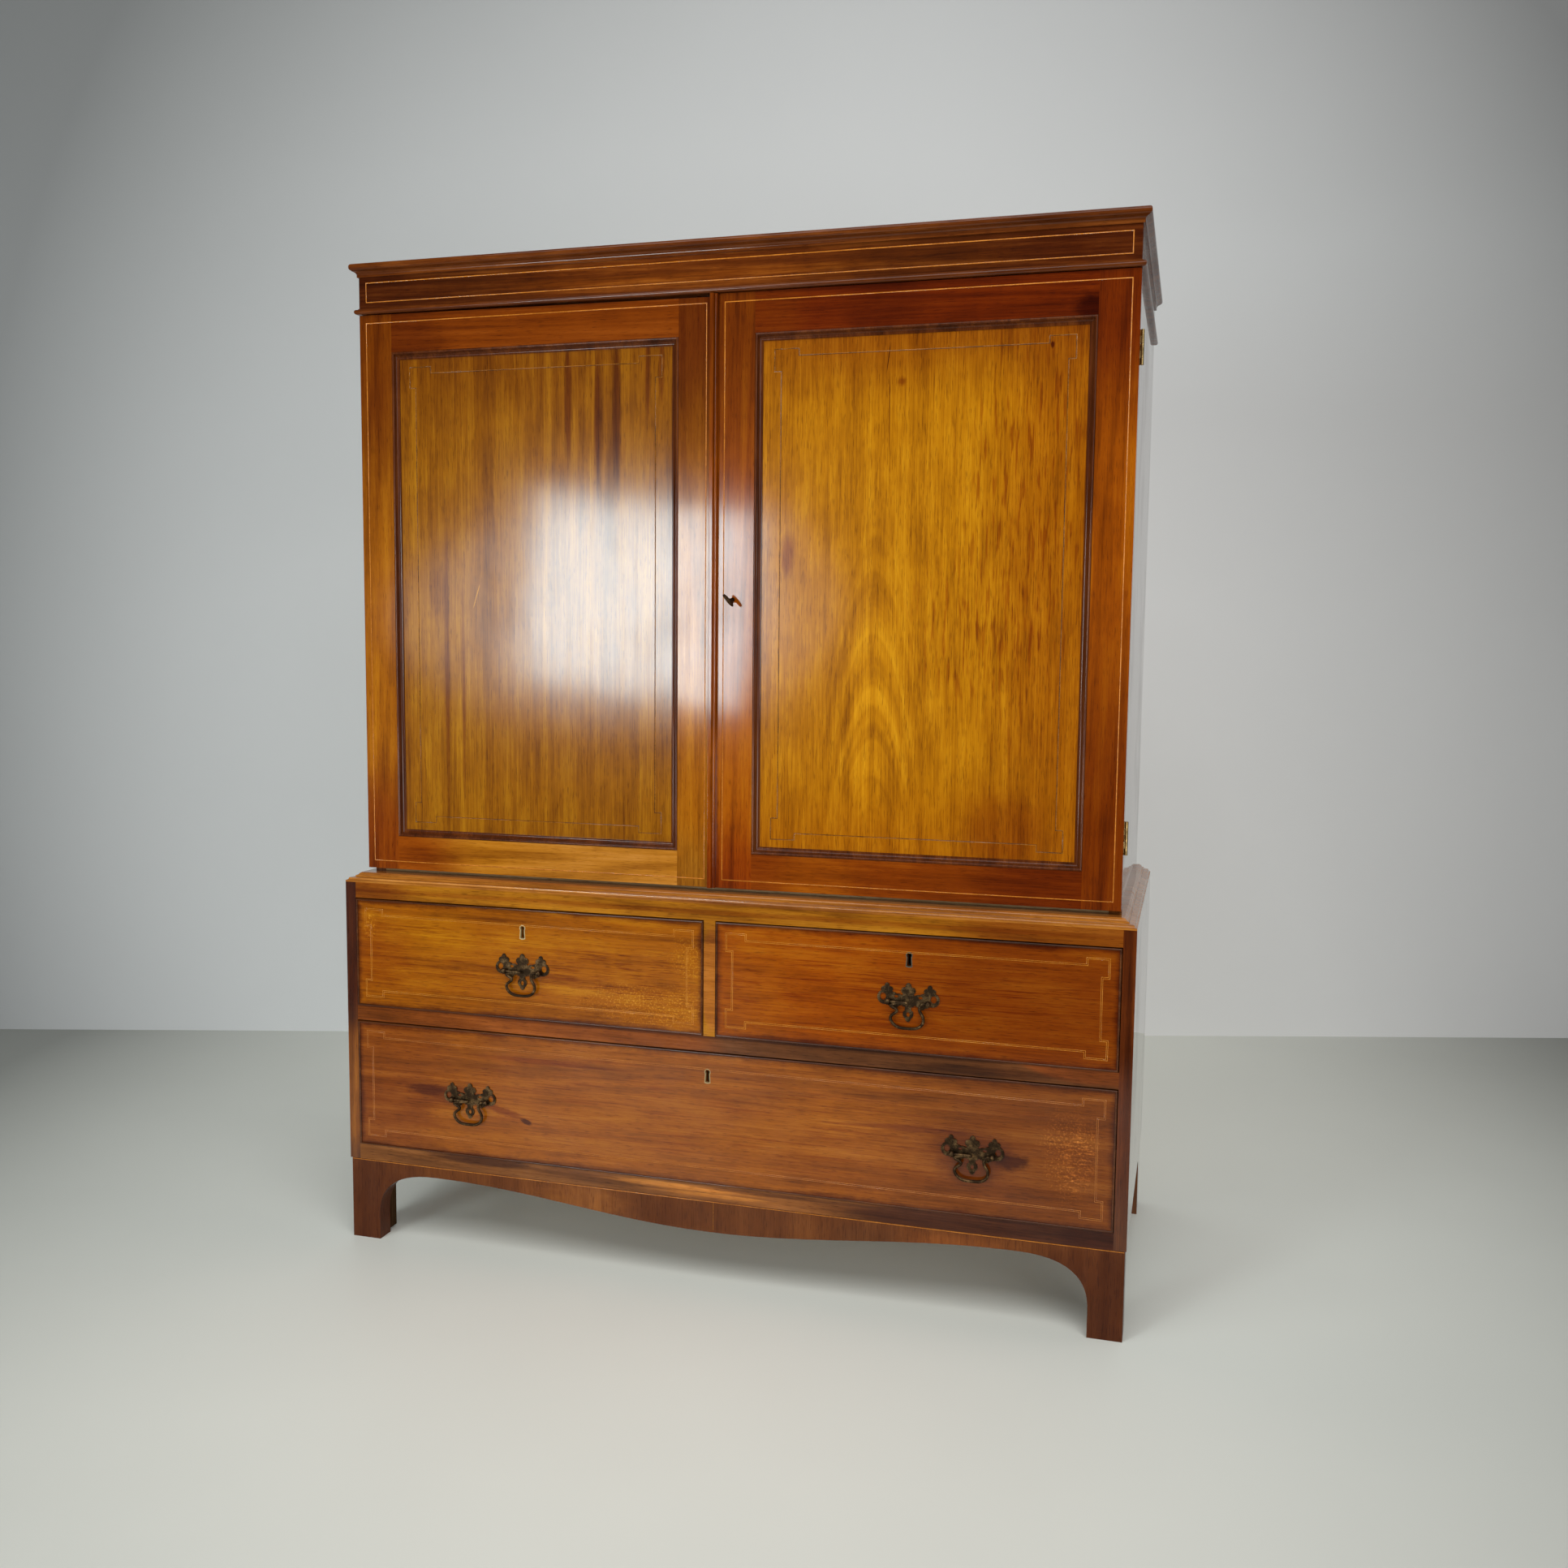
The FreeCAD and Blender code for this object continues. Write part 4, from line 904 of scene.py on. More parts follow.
@dataclass
class Screws:
    """Slotted screws of one body, let into its fittings' faces."""

    name: str
    body: str
    finish: MetalFinish
    radius: float = 2.6 * MILLIMETRE
    thickness: float = 0.7 * MILLIMETRE
    proud: float = 0.15 * MILLIMETRE
    slot_width: float = 0.7 * MILLIMETRE
    slot_depth: float = 0.4 * MILLIMETRE
    places: list[Point] = field(default_factory=list)
    facings: list[Point] = field(default_factory=list)

    def add(self, place: Point, facing: Point) -> None:
        """Adds a screw.

        Args:
            place: Where its head meets the face it is let into.
            facing: Which way that face looks.
        """
        self.places.append(tuple(Vector(place) + Vector(facing) * (self.proud - self.thickness / 2.0)))
        self.facings.append(facing)

    def build(self) -> None:
        """Makes the screws."""
        piece = mesh_piece(self.name, self.places)
        facing = piece.data.attributes.new("facing", "FLOAT_VECTOR", "POINT")
        facing.data.foreach_set("vector", [value for way in self.facings for value in way])
        sizes = {
            "Radius": self.radius,
            "Thickness": self.thickness,
            "Slot Width": self.slot_width,
            "Slot Depth": self.slot_depth,
        }
        screw_sheet().run(piece, sizes | {"Finish": made(self.finish)})
        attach(piece, self.body)
        LOG.info("%s set in %s, %d heads", self.name, self.body, len(self.places))


# --------------------------------------------------------- the press's finishes

AGED_BRASS = MetalFinish("aged_brass", (0.034, 0.020, 0.011), (0.25, 0.145, 0.062), 0.36, 0.56)
BRIGHT_BRASS = MetalFinish("bright_brass", (0.22, 0.14, 0.05), (0.62, 0.44, 0.18), 0.26, 0.46)
LOCK_IRON = MetalFinish("lock_iron", (0.05, 0.045, 0.042), (0.17, 0.16, 0.15), 0.48, 0.5)
TAN_LINE = LineFinish("tan_line", (0.40, 0.122, 0.010), (0.62, 0.215, 0.024))
PALE_LINE = LineFinish("pale_line", (0.44, 0.148, 0.007), (0.64, 0.26, 0.024))
WORN_LINE = LineFinish("worn_line", (0.34, 0.105, 0.015), (0.52, 0.19, 0.035))
FAINT_LINE = LineFinish("faint_line", (0.17, 0.058, 0.003), (0.42, 0.15, 0.010))
DARK_LINE = LineFinish("dark_line", (0.045, 0.016, 0.003), (0.16, 0.05, 0.006))
DARK_MOULDING = WoodFinish(
    "door_moulding_mahogany", Grain.FRONT_UPRIGHT,
    (0.024, 0.006, 0.0015), (0.085, 0.019, 0.004), (0.17, 0.046, 0.008),
    rings=0.3, roughness=0.4, coat=0.38, coat_roughness=0.10,
)
COCKBEAD = WoodFinish(
    "cockbead_mahogany", Grain.FRONT_LEVEL,
    (0.025, 0.007, 0.002), (0.075, 0.02, 0.004), (0.16, 0.05, 0.01),
    coat=0.7,
)
SIDES = WoodFinish(
    "side_mahogany", Grain.SIDE_UPRIGHT,
    (0.05, 0.013, 0.002), (0.11, 0.03, 0.005), (0.2, 0.065, 0.012),
    pith=(0.02, 0.2, 0.3), ring_spacing=0.018, roughness=0.3, coat=1.0, coat_roughness=0.03,
    patches=(
        Patch((-0.28, 0.5), (0.008, 0.28), (0.82, 0.56, 0.35), ragged=0.2, soft=0.6),
        Patch((-0.28, 0.12), (0.008, 0.12), (0.8, 0.7, 0.6), ragged=0.2, soft=0.6),
    ),
)
PINE = WoodFinish(
    "back_pine", Grain.FRONT_UPRIGHT,
    (0.24, 0.122, 0.044), (0.4, 0.222, 0.092), (0.52, 0.315, 0.145),
    pith=(0.0, 0.5, 0.2), ring_spacing=0.02, roughness=0.68, coat=0.0, ribbon=0.3,
)
OAK = WoodFinish(
    "case_oak", Grain.FLAT_LEVEL,
    (0.2, 0.115, 0.05), (0.33, 0.205, 0.1), (0.43, 0.29, 0.155),
    pith=(0.0, 1.4, 0.2), roughness=0.64, coat=0.0, ribbon=0.3,
)
DRAWER_OAK = replace(
    OAK, name="drawer_oak", grain=Grain.FLAT_DEEP,
    dark=(0.22, 0.13, 0.06), middle=(0.36, 0.235, 0.12), light=(0.46, 0.32, 0.18),
    pith=(0.2, 3.0, 0.0), roughness=0.6, boxed=True,
)

CASE_FINISHES: dict[tuple[str, ...], Finish] = {
    ("crown_moulding", "frieze_bead"): WoodFinish(
        "moulding_mahogany", Grain.FRONT_LEVEL,
        (0.051, 0.0095, 0.0013), (0.125, 0.0285, 0.0038), (0.24, 0.066, 0.01),
        rings=0.4, roughness=0.36, coat=0.65,
    ),
    ("waist_moulding",): WoodFinish(
        "waist_mahogany", Grain.FRONT_LEVEL,
        (0.19, 0.054, 0.007), (0.39, 0.134, 0.016), (0.54, 0.225, 0.038),
        rings=0.4, coat=1.0, coat_roughness=0.05,
        patches=(
            # Thin bright line along the nosing: painted highlight of the window's reflection.
            Patch((-0.27, 0.6243), (0.42, 0.0014), (1.4, 1.6, 2.6), soft=0.8),
            # Darker band along the moulding's top, under the doors: painted shadow.
            Patch((0.0, 0.6345), (0.8, 0.004), (0.82, 0.74, 0.95), ragged=0.4, soft=0.8),
        ),
    ),
    ("frieze_board",): WoodFinish(
        "frieze_mahogany", Grain.FRONT_LEVEL,
        (0.028, 0.005, 0.0006), (0.075, 0.015, 0.0015), (0.16, 0.042, 0.005),
        pith=(1.2, 0.3, 0.0), coat=0.6,
        patches=(
            Patch((-0.06, 1.59), (0.26, 0.05), (1.55, 1.55, 1.4), soft=1.0),
            Patch((-0.02, 1.585), (0.3, 0.006), (1.4, 1.5, 1.2), ragged=0.7, soft=1.0),
            Patch((0.6, 1.59), (0.16, 0.05), (0.8, 0.66, 0.75), ragged=0.3, soft=1.2),
            Patch((-0.62, 1.59), (0.14, 0.05), (0.72, 0.64, 0.8), ragged=0.3, soft=1.2),
        ),
    ),
    ("base_top_rail", "drawer_divider"): WoodFinish(
        "rail_mahogany", Grain.FRONT_LEVEL,
        (0.18, 0.055, 0.003), (0.39, 0.14, 0.006), (0.53, 0.22, 0.015),
        pith=(0.3, 0.4, 0.0),
        patches=(
            Patch((0.13, 0.6), (0.17, 0.1), (0.82, 0.78, 0.8), ragged=0.3, soft=1.0),
            Patch((0.006, 0.5), (0.02, 0.08), (1.02, 0.88, 1.8), ragged=0.1, soft=0.3),
            Patch((0.55, 0.6), (0.16, 0.1), (0.55, 0.38, 0.5), ragged=0.3),
            Patch((-0.62, 0.59), (0.09, 0.1), (0.6, 0.42, 0.5), ragged=0.3, soft=1.2),
            Patch((0.0, 0.606), (0.75, 0.004), (0.7, 0.55, 0.5), ragged=0.8),
        ),
    ),
    ("drawer_rail",): WoodFinish(
        "middle_rail_mahogany", Grain.FRONT_LEVEL,
        (0.047, 0.0145, 0.0035), (0.108, 0.034, 0.0085), (0.18, 0.062, 0.017),
        pith=(0.3, 0.4, 0.0),
        patches=(
            Patch((-0.38, 0.396), (0.39, 0.2), (1.75, 1.3, 0.6), ragged=0.15, soft=0.2),
            Patch((0.613, 0.746), (0.36, 0.36), (1.9, 1.4, 0.9), ragged=0.02, soft=0.03),
            Patch((0.44, 0.392), (0.11, 0.007), (0.66, 0.6, 0.6), ragged=0.7, soft=0.8),
            Patch((0.0, 0.409), (0.66, 0.004), (0.5, 0.45, 0.5)),
        ),
    ),
    ("base_bottom_rail",): WoodFinish(
        "bottom_rail_mahogany", Grain.FRONT_LEVEL,
        (0.085, 0.026, 0.006), (0.175, 0.058, 0.011), (0.28, 0.1, 0.022),
        pith=(-0.2, 0.4, 0.0),
        patches=(
            Patch((-0.4, 0.161), (0.09, 0.008), (0.36, 0.3, 0.35), soft=0.6),
            # Thin bright streak along the rail: painted highlight.
            Patch((-0.05, 0.158), (0.12, 0.0045), (2.1, 2.2, 1.8), ragged=0.6, soft=0.7),
            Patch((-0.22, 0.158), (0.08, 0.01), (0.74, 0.7, 0.75), ragged=0.4, soft=0.8),
            # A second thin bright streak lower on the rail: painted highlight.
            Patch((0.0, 0.149), (0.1, 0.003), (1.7, 1.8, 1.5), ragged=0.7, soft=0.7),
            Patch((0.14, 0.161), (0.16, 0.003), (0.6, 0.55, 0.6), ragged=0.6, soft=0.6),
            Patch((0.08, 0.15), (0.16, 0.012), (1.25, 1.2, 1.1), ragged=0.6, soft=1.0),
            Patch((0.52, 0.15), (0.3, 0.03), (0.36, 0.26, 0.36), ragged=0.2, soft=0.5),
            Patch((0.61, 0.15), (0.06, 0.03), (0.66, 0.55, 0.65), ragged=0.2, soft=0.6),
        ),
    ),
    ("apron_front",): WoodFinish(
        "apron_mahogany", Grain.FRONT_UPRIGHT,
        (0.07, 0.016, 0.003), (0.125, 0.034, 0.006), (0.2, 0.062, 0.012),
        pith=(0.05, 0.25, 0.0), ring_spacing=0.03, rings=0.35, ribbon=0.3, fibre=0.35, streak=0.22,
        coat=0.4, roughness=0.5,
        patches=(
            Patch((-0.22, 0.115), (0.06, 0.02), (1.65, 1.85, 1.7), ragged=0.7, soft=1.2),
            Patch((0.4, 0.115), (0.07, 0.02), (1.6, 1.6, 1.5), ragged=0.7, soft=1.2),
            Patch((0.26, 0.11), (0.05, 0.03), (0.8, 0.84, 1.1), soft=1.2),
            Patch((-0.07, 0.11), (0.05, 0.03), (0.72, 0.66, 0.7), soft=1.2),
            Patch((-0.6, 0.04), (0.09, 0.12), (0.62, 0.52, 0.52), ragged=0.35, soft=0.8),
            Patch((0.6, 0.04), (0.09, 0.12), (0.62, 0.52, 0.52), ragged=0.35, soft=0.8),
        ),
    ),
    ("foot_blocks",): WoodFinish(
        "stained_pine", Grain.FRONT_UPRIGHT,
        (0.03, 0.014, 0.006), (0.06, 0.03, 0.013), (0.1, 0.055, 0.026),
        roughness=0.8, coat=0.0,
    ),
    ("base_side_right", "apron_sides", "upper_side_right"): SIDES,
    ("base_side_left", "upper_side_left"): replace(
        SIDES,
        name="left_side_mahogany",
        coat_roughness=0.12,
        patches=(
            Patch((-0.28, 0.56), (0.008, 0.19), (0.42, 0.26, 0.2), ragged=0.2, soft=0.6),
            Patch((-0.28, 0.27), (0.008, 0.1), (1.8, 1.8, 0.9), ragged=0.2, soft=0.5),
        ),
    ),
    ("upper_back",): PINE,
    ("base_back",): replace(PINE, name="lower_back_pine", pith=(0.35, 0.5, 0.2)),
    ("base_top_board", "dust_boards", "upper_top", "upper_bottom"): OAK,
    ("drawer_runners", "tray_bearers"): replace(
        OAK, name="runner_oak", grain=Grain.FLAT_DEEP, pith=(0.0, 0.9, 0.0), roughness=0.62
    ),
    ("hinge_case_leaves",): BRIGHT_BRASS,
}


# --------------------------------------------------------------- sub-assemblies


@dataclass
class ScrewSet:
    """Every screw of the hinges and the flush bolt plates."""

    hinge_x: float = 0.617
    hinge_heights: Spot = (0.745, 1.4505)
    hinge_screw_reach: float = 0.016
    case_face: float = -0.2241
    door_face: float = -0.2246
    bolt_x: float = -0.0395
    plate_ends: Spot = (0.021, 0.085)

    def build(self) -> None:
        """Sets the screws."""
        case = Screws("hinge_screws", "case", BRIGHT_BRASS)
        left = Screws("left_door_screws", "door_left", BRIGHT_BRASS)
        right = Screws("right_door_screws", "door_right", BRIGHT_BRASS)
        for middle in self.hinge_heights:
            for z in (middle - self.hinge_screw_reach, middle + self.hinge_screw_reach):
                for x, door in ((-self.hinge_x, left), (self.hinge_x, right)):
                    door.add((x, self.door_face, z), BACKWARDS)
                    case.add((x, self.case_face, z), FORWARDS)
        low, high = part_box("door_left_stiles")
        for edge, way in ((low[2], 1.0), (high[2], -1.0)):
            for reach in self.plate_ends:
                left.add((self.bolt_x, self.door_face, edge + way * reach), BACKWARDS)
        for screws in (case, left, right):
            screws.build()


@dataclass
class Carcase:
    """The case: base, upper part, frieze, crown, apron, feet and what slides inside."""

    trays: int = 4
    frieze_low: float = 1.5758
    frieze_high: float = 1.607
    frieze_end: float = 0.0128
    apron_line_drop: float = 0.0025
    apron_line_end: float = 0.001
    apron_line_width: float = 0.9 * MILLIMETRE
    apron_joint_x: float = 0.008
    apron_joint_foot: float = 0.092
    apron_joint_width: float = 0.45 * MILLIMETRE

    def dress(self) -> None:
        """Gives each case node and each tray its finish."""
        for nodes, finish in CASE_FINISHES.items():
            dress(finish, *nodes)
        dress(DRAWER_OAK, *(f"tray_{number + 1}" for number in range(self.trays)))

    def inlay(self) -> None:
        """Adds the frieze's and the apron's lines."""
        low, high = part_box("frieze_board")
        ends = (low[0] + self.frieze_end, high[0] - self.frieze_end)
        frieze = LineInlay("frieze_line", "case", TAN_LINE)
        frieze.add_run(plain_loop((ends[0], self.frieze_low), (ends[1], self.frieze_high)), low[1])
        low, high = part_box("apron_front")
        height = high[2] - self.apron_line_drop
        ends = (low[0] + self.apron_line_end, high[0] - self.apron_line_end)
        edge = LineInlay("apron_line", "case", TAN_LINE, self.apron_line_width)
        edge.add_run([(x, height) for x in ends], low[1], closed=False)
        joint = LineInlay("apron_joint", "case", FAINT_LINE, self.apron_joint_width)
        joint_ends = (self.apron_joint_foot, height)
        joint.add_run([(self.apron_joint_x, z) for z in joint_ends], low[1], closed=False)
        for line in (frieze, edge, joint):
            line.build()


class Hand(Enum):
    """Which door, as the start of its nodes' names."""

    LEFT = "door_left"
    RIGHT = "door_right"


@dataclass
class Door:
    """One panelled door with its inlaid lines."""

    hand: Hand
    panel: WoodFinish
    stile: WoodFinish
    rail: WoodFinish
    fittings: dict[str, MetalFinish]
    meeting_line: float
    opening_low: Spot
    opening_high: Spot
    outer_inset: float = 0.012
    end_inset: float = 0.013
    ear_inset: Spot = (0.0293, 0.0243)
    ear: Spot = (0.0394, 0.0344)
    step: Spot = (0.0107, 0.0106)
    line_width: float = 0.7 * MILLIMETRE
    line_gap: float = 0.8 * MILLIMETRE

    def dress(self) -> None:
        """Gives the door's nodes their finishes."""
        body = self.hand.value
        dress(self.panel, body + "_panel")
        dress(self.stile, body + "_stiles")
        if self.hand is Hand.RIGHT:
            dress(self.stile, "meeting_bead")
        dress(self.rail, body + "_rails")
        dress(DARK_MOULDING, body + "_moulding")
        for node, metal in self.fittings.items():
            dress(metal, node)

    def inlay(self) -> None:
        """Adds the frame's and the panel's lines."""
        body = self.hand.value
        low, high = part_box(body + "_stiles")
        sides = (low[0] + self.outer_inset, self.meeting_line)
        if self.hand is Hand.RIGHT:
            sides = (self.meeting_line, high[0] - self.outer_inset)
        ends = (low[2] + self.end_inset, high[2] - self.end_inset)
        border = LineInlay(body + "_frame_line", body, TAN_LINE)
        border.add_run(plain_loop((sides[0], ends[0]), (sides[1], ends[1])), low[1])
        border.build()
        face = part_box(body + "_panel")[0][1]
        corners = drawn_in(self.opening_low, self.opening_high, self.ear_inset)
        for name, finish, inset in (("faint", FAINT_LINE, 0.0), ("dark", DARK_LINE, self.line_gap)):
            eared = LineInlay(f"{body}_panel_{name}_line", body, finish, self.line_width)
            eared.add_eared(*corners, self.ear, self.step, face, inset)
            eared.build()


@dataclass
class Drawer:
    """One drawer with its lines, fittings and bails."""

    body: str
    bails: tuple[str, ...]
    keyhole: Spot
    rim: Colour
    wood: WoodFinish
    line: LineFinish = PALE_LINE
    rim_reach: float = 0.02
    ear_inset: float = 0.016
    ear: Spot = (0.034, 0.030)
    step: Spot = (0.010, 0.010)
    line_width: float = 0.55 * MILLIMETRE
    line_gap: float = 2.2 * MILLIMETRE

    def dress(self) -> None:
        """Gives the drawer's nodes their finishes."""
        low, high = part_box(self.body + "_front")
        grime = Border((low[0], low[2]), (high[0], high[2]))
        rim = Patch(self.keyhole, (self.rim_reach, self.rim_reach), WHITE, ragged=0.0, soft=0.35)
        brass = replace(AGED_BRASS, name=self.body + "_brass", polished=rim, polished_tone=self.rim)
        dress(replace(self.wood, border=grime), self.body + "_front")
        dress(DRAWER_OAK, self.body + "_box")
        dress(COCKBEAD, self.body + "_cockbead")
        dress(brass, self.body + "_fittings")
        dress(AGED_BRASS, *self.bails)

    def inlay(self) -> None:
        """Adds the front's double eared line."""
        low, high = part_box(self.body + "_front")
        corners = drawn_in((low[0], low[2]), (high[0], high[2]), (self.ear_inset, self.ear_inset))
        eared = LineInlay(self.body + "_line", self.body, self.line, self.line_width)
        for inset in (0.0, self.line_gap):
            eared.add_eared(*corners, self.ear, self.step, low[1], inset)
        eared.build()


LEFT_DOOR = Door(
    Hand.LEFT,
    panel=WoodFinish(
        "left_panel_mahogany", Grain.FRONT_UPRIGHT,
        (0.12, 0.03, 0.0005), (0.265, 0.086, 0.001), (0.42, 0.17, 0.004),
        pith=(0.5, 0.5, 0.0), ring_spacing=0.013, taper=0.01, ribbon=0.8, ribbon_width=0.026, rings=0.42,
        fibre=0.65, streak=0.24, coat=0.95, coat_roughness=0.11,
        patches=(
            Patch((-0.43, 1.6), (0.38, 0.2), (0.68, 0.56, 0.6), ragged=0.2, soft=1.1),
            Patch((-0.46, 1.0), (0.06, 0.18), (1.15, 1.25, 1.25), ragged=0.4, soft=1.3),
            Patch((-0.255, 1.4), (0.006, 0.09), (0.5, 0.34, 0.3)),
            Patch((-0.205, 1.38), (0.005, 0.1), (0.5, 0.34, 0.3)),
            Patch((-0.172, 1.39), (0.007, 0.11), (0.42, 0.28, 0.25)),
            Patch((-0.12, 1.44), (0.004, 0.06), (0.62, 0.46, 0.4)),
            Patch((-0.097, 1.45), (0.005, 0.05), (0.6, 0.44, 0.4)),
            Patch((-0.475, 1.0), (0.004, 0.22), (0.6, 0.45, 0.4), ragged=0.6),
            Patch((-0.445, 0.95), (0.003, 0.17), (0.6, 0.45, 0.4), ragged=0.6),
            Patch((-0.49, 1.1), (0.014, 0.04), (0.8, 0.72, 1.2), ragged=0.6),
            Patch((-0.42, 1.098), (0.001, 0.018), (2.2, 2.8, 6.0), ragged=0.4, soft=0.4, turn=-0.3),
        ),
    ),
    stile=WoodFinish(
        "left_stile_mahogany", Grain.FRONT_UPRIGHT,
        (0.14, 0.032, 0.0006), (0.32, 0.092, 0.0015), (0.47, 0.165, 0.004),
        pith=(-0.3, 0.6, 0.0), coat=0.8,
        patches=(
            Patch((-0.6, 1.54), (0.1, 0.28), (0.42, 0.28, 0.3), ragged=0.2, soft=1.4),
            Patch((-0.6, 0.66), (0.1, 0.13), (0.6, 0.36, 0.3), ragged=0.3, soft=1.2),
            Patch((-0.04, 1.55), (0.07, 0.25), (0.28, 0.15, 0.2), ragged=0.2, soft=1.4),
            Patch((-0.04, 0.64), (0.06, 0.07), (0.9, 1.05, 3.0), ragged=0.4, soft=1.4),
        ),
    ),
    rail=WoodFinish(
        "left_rail_mahogany", Grain.FRONT_LEVEL,
        (0.22, 0.062, 0.002), (0.41, 0.142, 0.006), (0.54, 0.21, 0.018),
        pith=(0.9, 0.6, 0.0), coat=0.6,
        patches=(
            Patch((-0.3, 1.53), (0.6, 0.08), (0.46, 0.25, 0.16), ragged=0.1, soft=0.35),
            Patch((-0.56, 1.52), (0.08, 0.06), (0.6, 0.5, 0.5), ragged=0.2, soft=1.2),
            Patch((-0.56, 0.66), (0.1, 0.08), (0.6, 0.34, 0.12), ragged=0.2, soft=1.2),
            Patch((-0.19, 0.66), (0.13, 0.08), (1.08, 1.16, 2.4), soft=1.4),
        ),
    ),
    fittings=dict.fromkeys(("door_left_brasses", "flush_bolt_top", "flush_bolt_bottom"), BRIGHT_BRASS),
    meeting_line=-0.021,
    opening_low=(-0.567, 0.696),
    opening_high=(-0.0665, 1.4945),
)

RIGHT_DOOR = Door(
    Hand.RIGHT,
    panel=WoodFinish(
        "right_panel_mahogany", Grain.FRONT_UPRIGHT,
        (0.2, 0.055, 0.0006), (0.4, 0.136, 0.0012), (0.58, 0.238, 0.0045),
        pith=(0.246, -0.15, 1.0), ring_spacing=0.0062, taper=0.115, wander=0.9, rings=0.12,
        arched=Patch((0.246, 0.94), (0.068, 0.2), (1.0, 1.0, 1.0), ragged=0.25, soft=1.0),
        arched_rings=0.43, ribbon=0.6, ribbon_width=0.022, fibre=0.75, streak=0.26, coat=0.85,
        coat_roughness=0.1,
        patches=(
            Patch((0.3, 1.54), (0.45, 0.12), (0.62, 0.47, 0.6), ragged=0.3),
            Patch((0.56, 1.15), (0.12, 0.5), (0.8, 0.66, 0.6), ragged=0.3),
            Patch((0.24, 0.66), (0.45, 0.12), (0.88, 0.78, 0.7), ragged=0.3),
            Patch((0.45, 0.75), (0.06, 0.07), (0.66, 0.5, 0.5), soft=1.2),
            # Brighter, bluer middle of the panel: painted reflection of the window's glow.
            Patch((0.3, 1.15), (0.2, 0.3), (1.12, 1.2, 1.4), ragged=0.3, soft=1.2),
            Patch((0.246, 0.9), (0.035, 0.13), (1.15, 1.2, 1.3), ragged=0.2),
            Patch((0.47, 1.2), (0.09, 0.32), (0.66, 0.48, 0.4), flecks=(190.0, 14.0)),
            Patch((0.4, 1.05), (0.1, 0.12), (0.75, 0.58, 0.5), flecks=(170.0, 16.0)),
            Patch((0.11, 1.16), (0.01, 0.03), (0.6, 0.42, 0.4)),
            Patch((0.263, 1.45), (0.0008, 0.02), (0.25, 0.16, 0.2), ragged=0.3, soft=0.5, turn=-0.12),
            Patch((0.2655, 1.37), (0.0008, 0.06), (0.35, 0.22, 0.2), ragged=0.3, soft=0.5, turn=0.01),
            Patch((0.284, 1.414), (0.006, 0.006), (0.6, 0.42, 0.4), soft=1.2),
            Patch((0.503, 1.457), (0.0025, 0.005), (0.3, 0.15, 0.1), ragged=0.4, soft=0.8),
        ),
    ),
    stile=WoodFinish(
        "right_stile_mahogany", Grain.FRONT_UPRIGHT,
        (0.13, 0.023, 0.0004), (0.28, 0.058, 0.0008), (0.4, 0.108, 0.002),
        pith=(0.9, 0.6, 0.0), coat=0.8,
        patches=(
            Patch((0.6, 1.54), (0.1, 0.16), (0.5, 0.31, 0.3), ragged=0.2, soft=1.2),
            Patch((0.6, 0.7), (0.1, 0.26), (0.56, 0.42, 0.5), ragged=0.2, soft=1.2),
            Patch((0.03, 1.55), (0.08, 0.22), (0.5, 0.42, 0.4), ragged=0.2, soft=1.4),
            Patch((0.03, 0.64), (0.08, 0.1), (0.76, 0.52, 0.3), ragged=0.2, soft=1.2),
            # Paler band low on the meeting stile: painted reflection.
            Patch((0.03, 0.82), (0.08, 0.12), (1.2, 1.35, 1.2), ragged=0.2, soft=1.2),
        ),
    ),
    rail=WoodFinish(
        "right_rail_mahogany", Grain.FRONT_LEVEL,
        (0.095, 0.014, 0.0005), (0.195, 0.033, 0.0008), (0.29, 0.062, 0.002),
        pith=(0.5, 0.5, 0.0), coat=0.6,
        patches=(
            Patch((0.3, 1.53), (0.6, 0.08), (0.6, 0.4, 0.5), ragged=0.1, soft=0.35),
            Patch((0.53, 0.66), (0.11, 0.08), (0.66, 0.52, 0.6), ragged=0.3, soft=1.0),
            Patch((0.165, 0.66), (0.06, 0.06), (1.3, 1.55, 1.2), ragged=0.4, soft=1.2),
            Patch((0.26, 1.53), (0.06, 0.06), (0.76, 0.72, 0.8), ragged=0.3, soft=1.0),
            Patch((0.08, 1.53), (0.05, 0.06), (1.1, 1.35, 1.1), ragged=0.3, soft=1.0),
            Patch((0.565, 1.502), (0.03, 0.025), (0.35, 0.25, 0.3)),
        ),
    ),
    fittings={
        "door_right_hinge_leaves": BRIGHT_BRASS,
        "lock_case": LOCK_IRON,
        "lock_bolt": LOCK_IRON,
        "door_key": AGED_BRASS,
    },
    meeting_line=0.0086,
    opening_low=(0.0568, 0.696),
    opening_high=(0.567, 1.4945),
)


def drawer_wood(body: str, pith_z: float, tones: Sequence[Colour], *patches: Patch) -> WoodFinish:
    """The mahogany of one drawer's front.

    Args:
        body: The drawer's body.
        pith_z: The height of the rings' middle.
        tones: The dark, the middle and the light tone.
        patches: The front's stains and changes of tone.

    Returns:
        The finish.
    """
    board = WoodFinish(body + "_mahogany", Grain.FRONT_LEVEL, *tones, pith=(pith_z, 0.3, 0.0))
    return replace(
        board, ring_spacing=0.014, rings=0.5, ribbon=0.55, streak=0.32, coat=0.6, patches=patches
    )


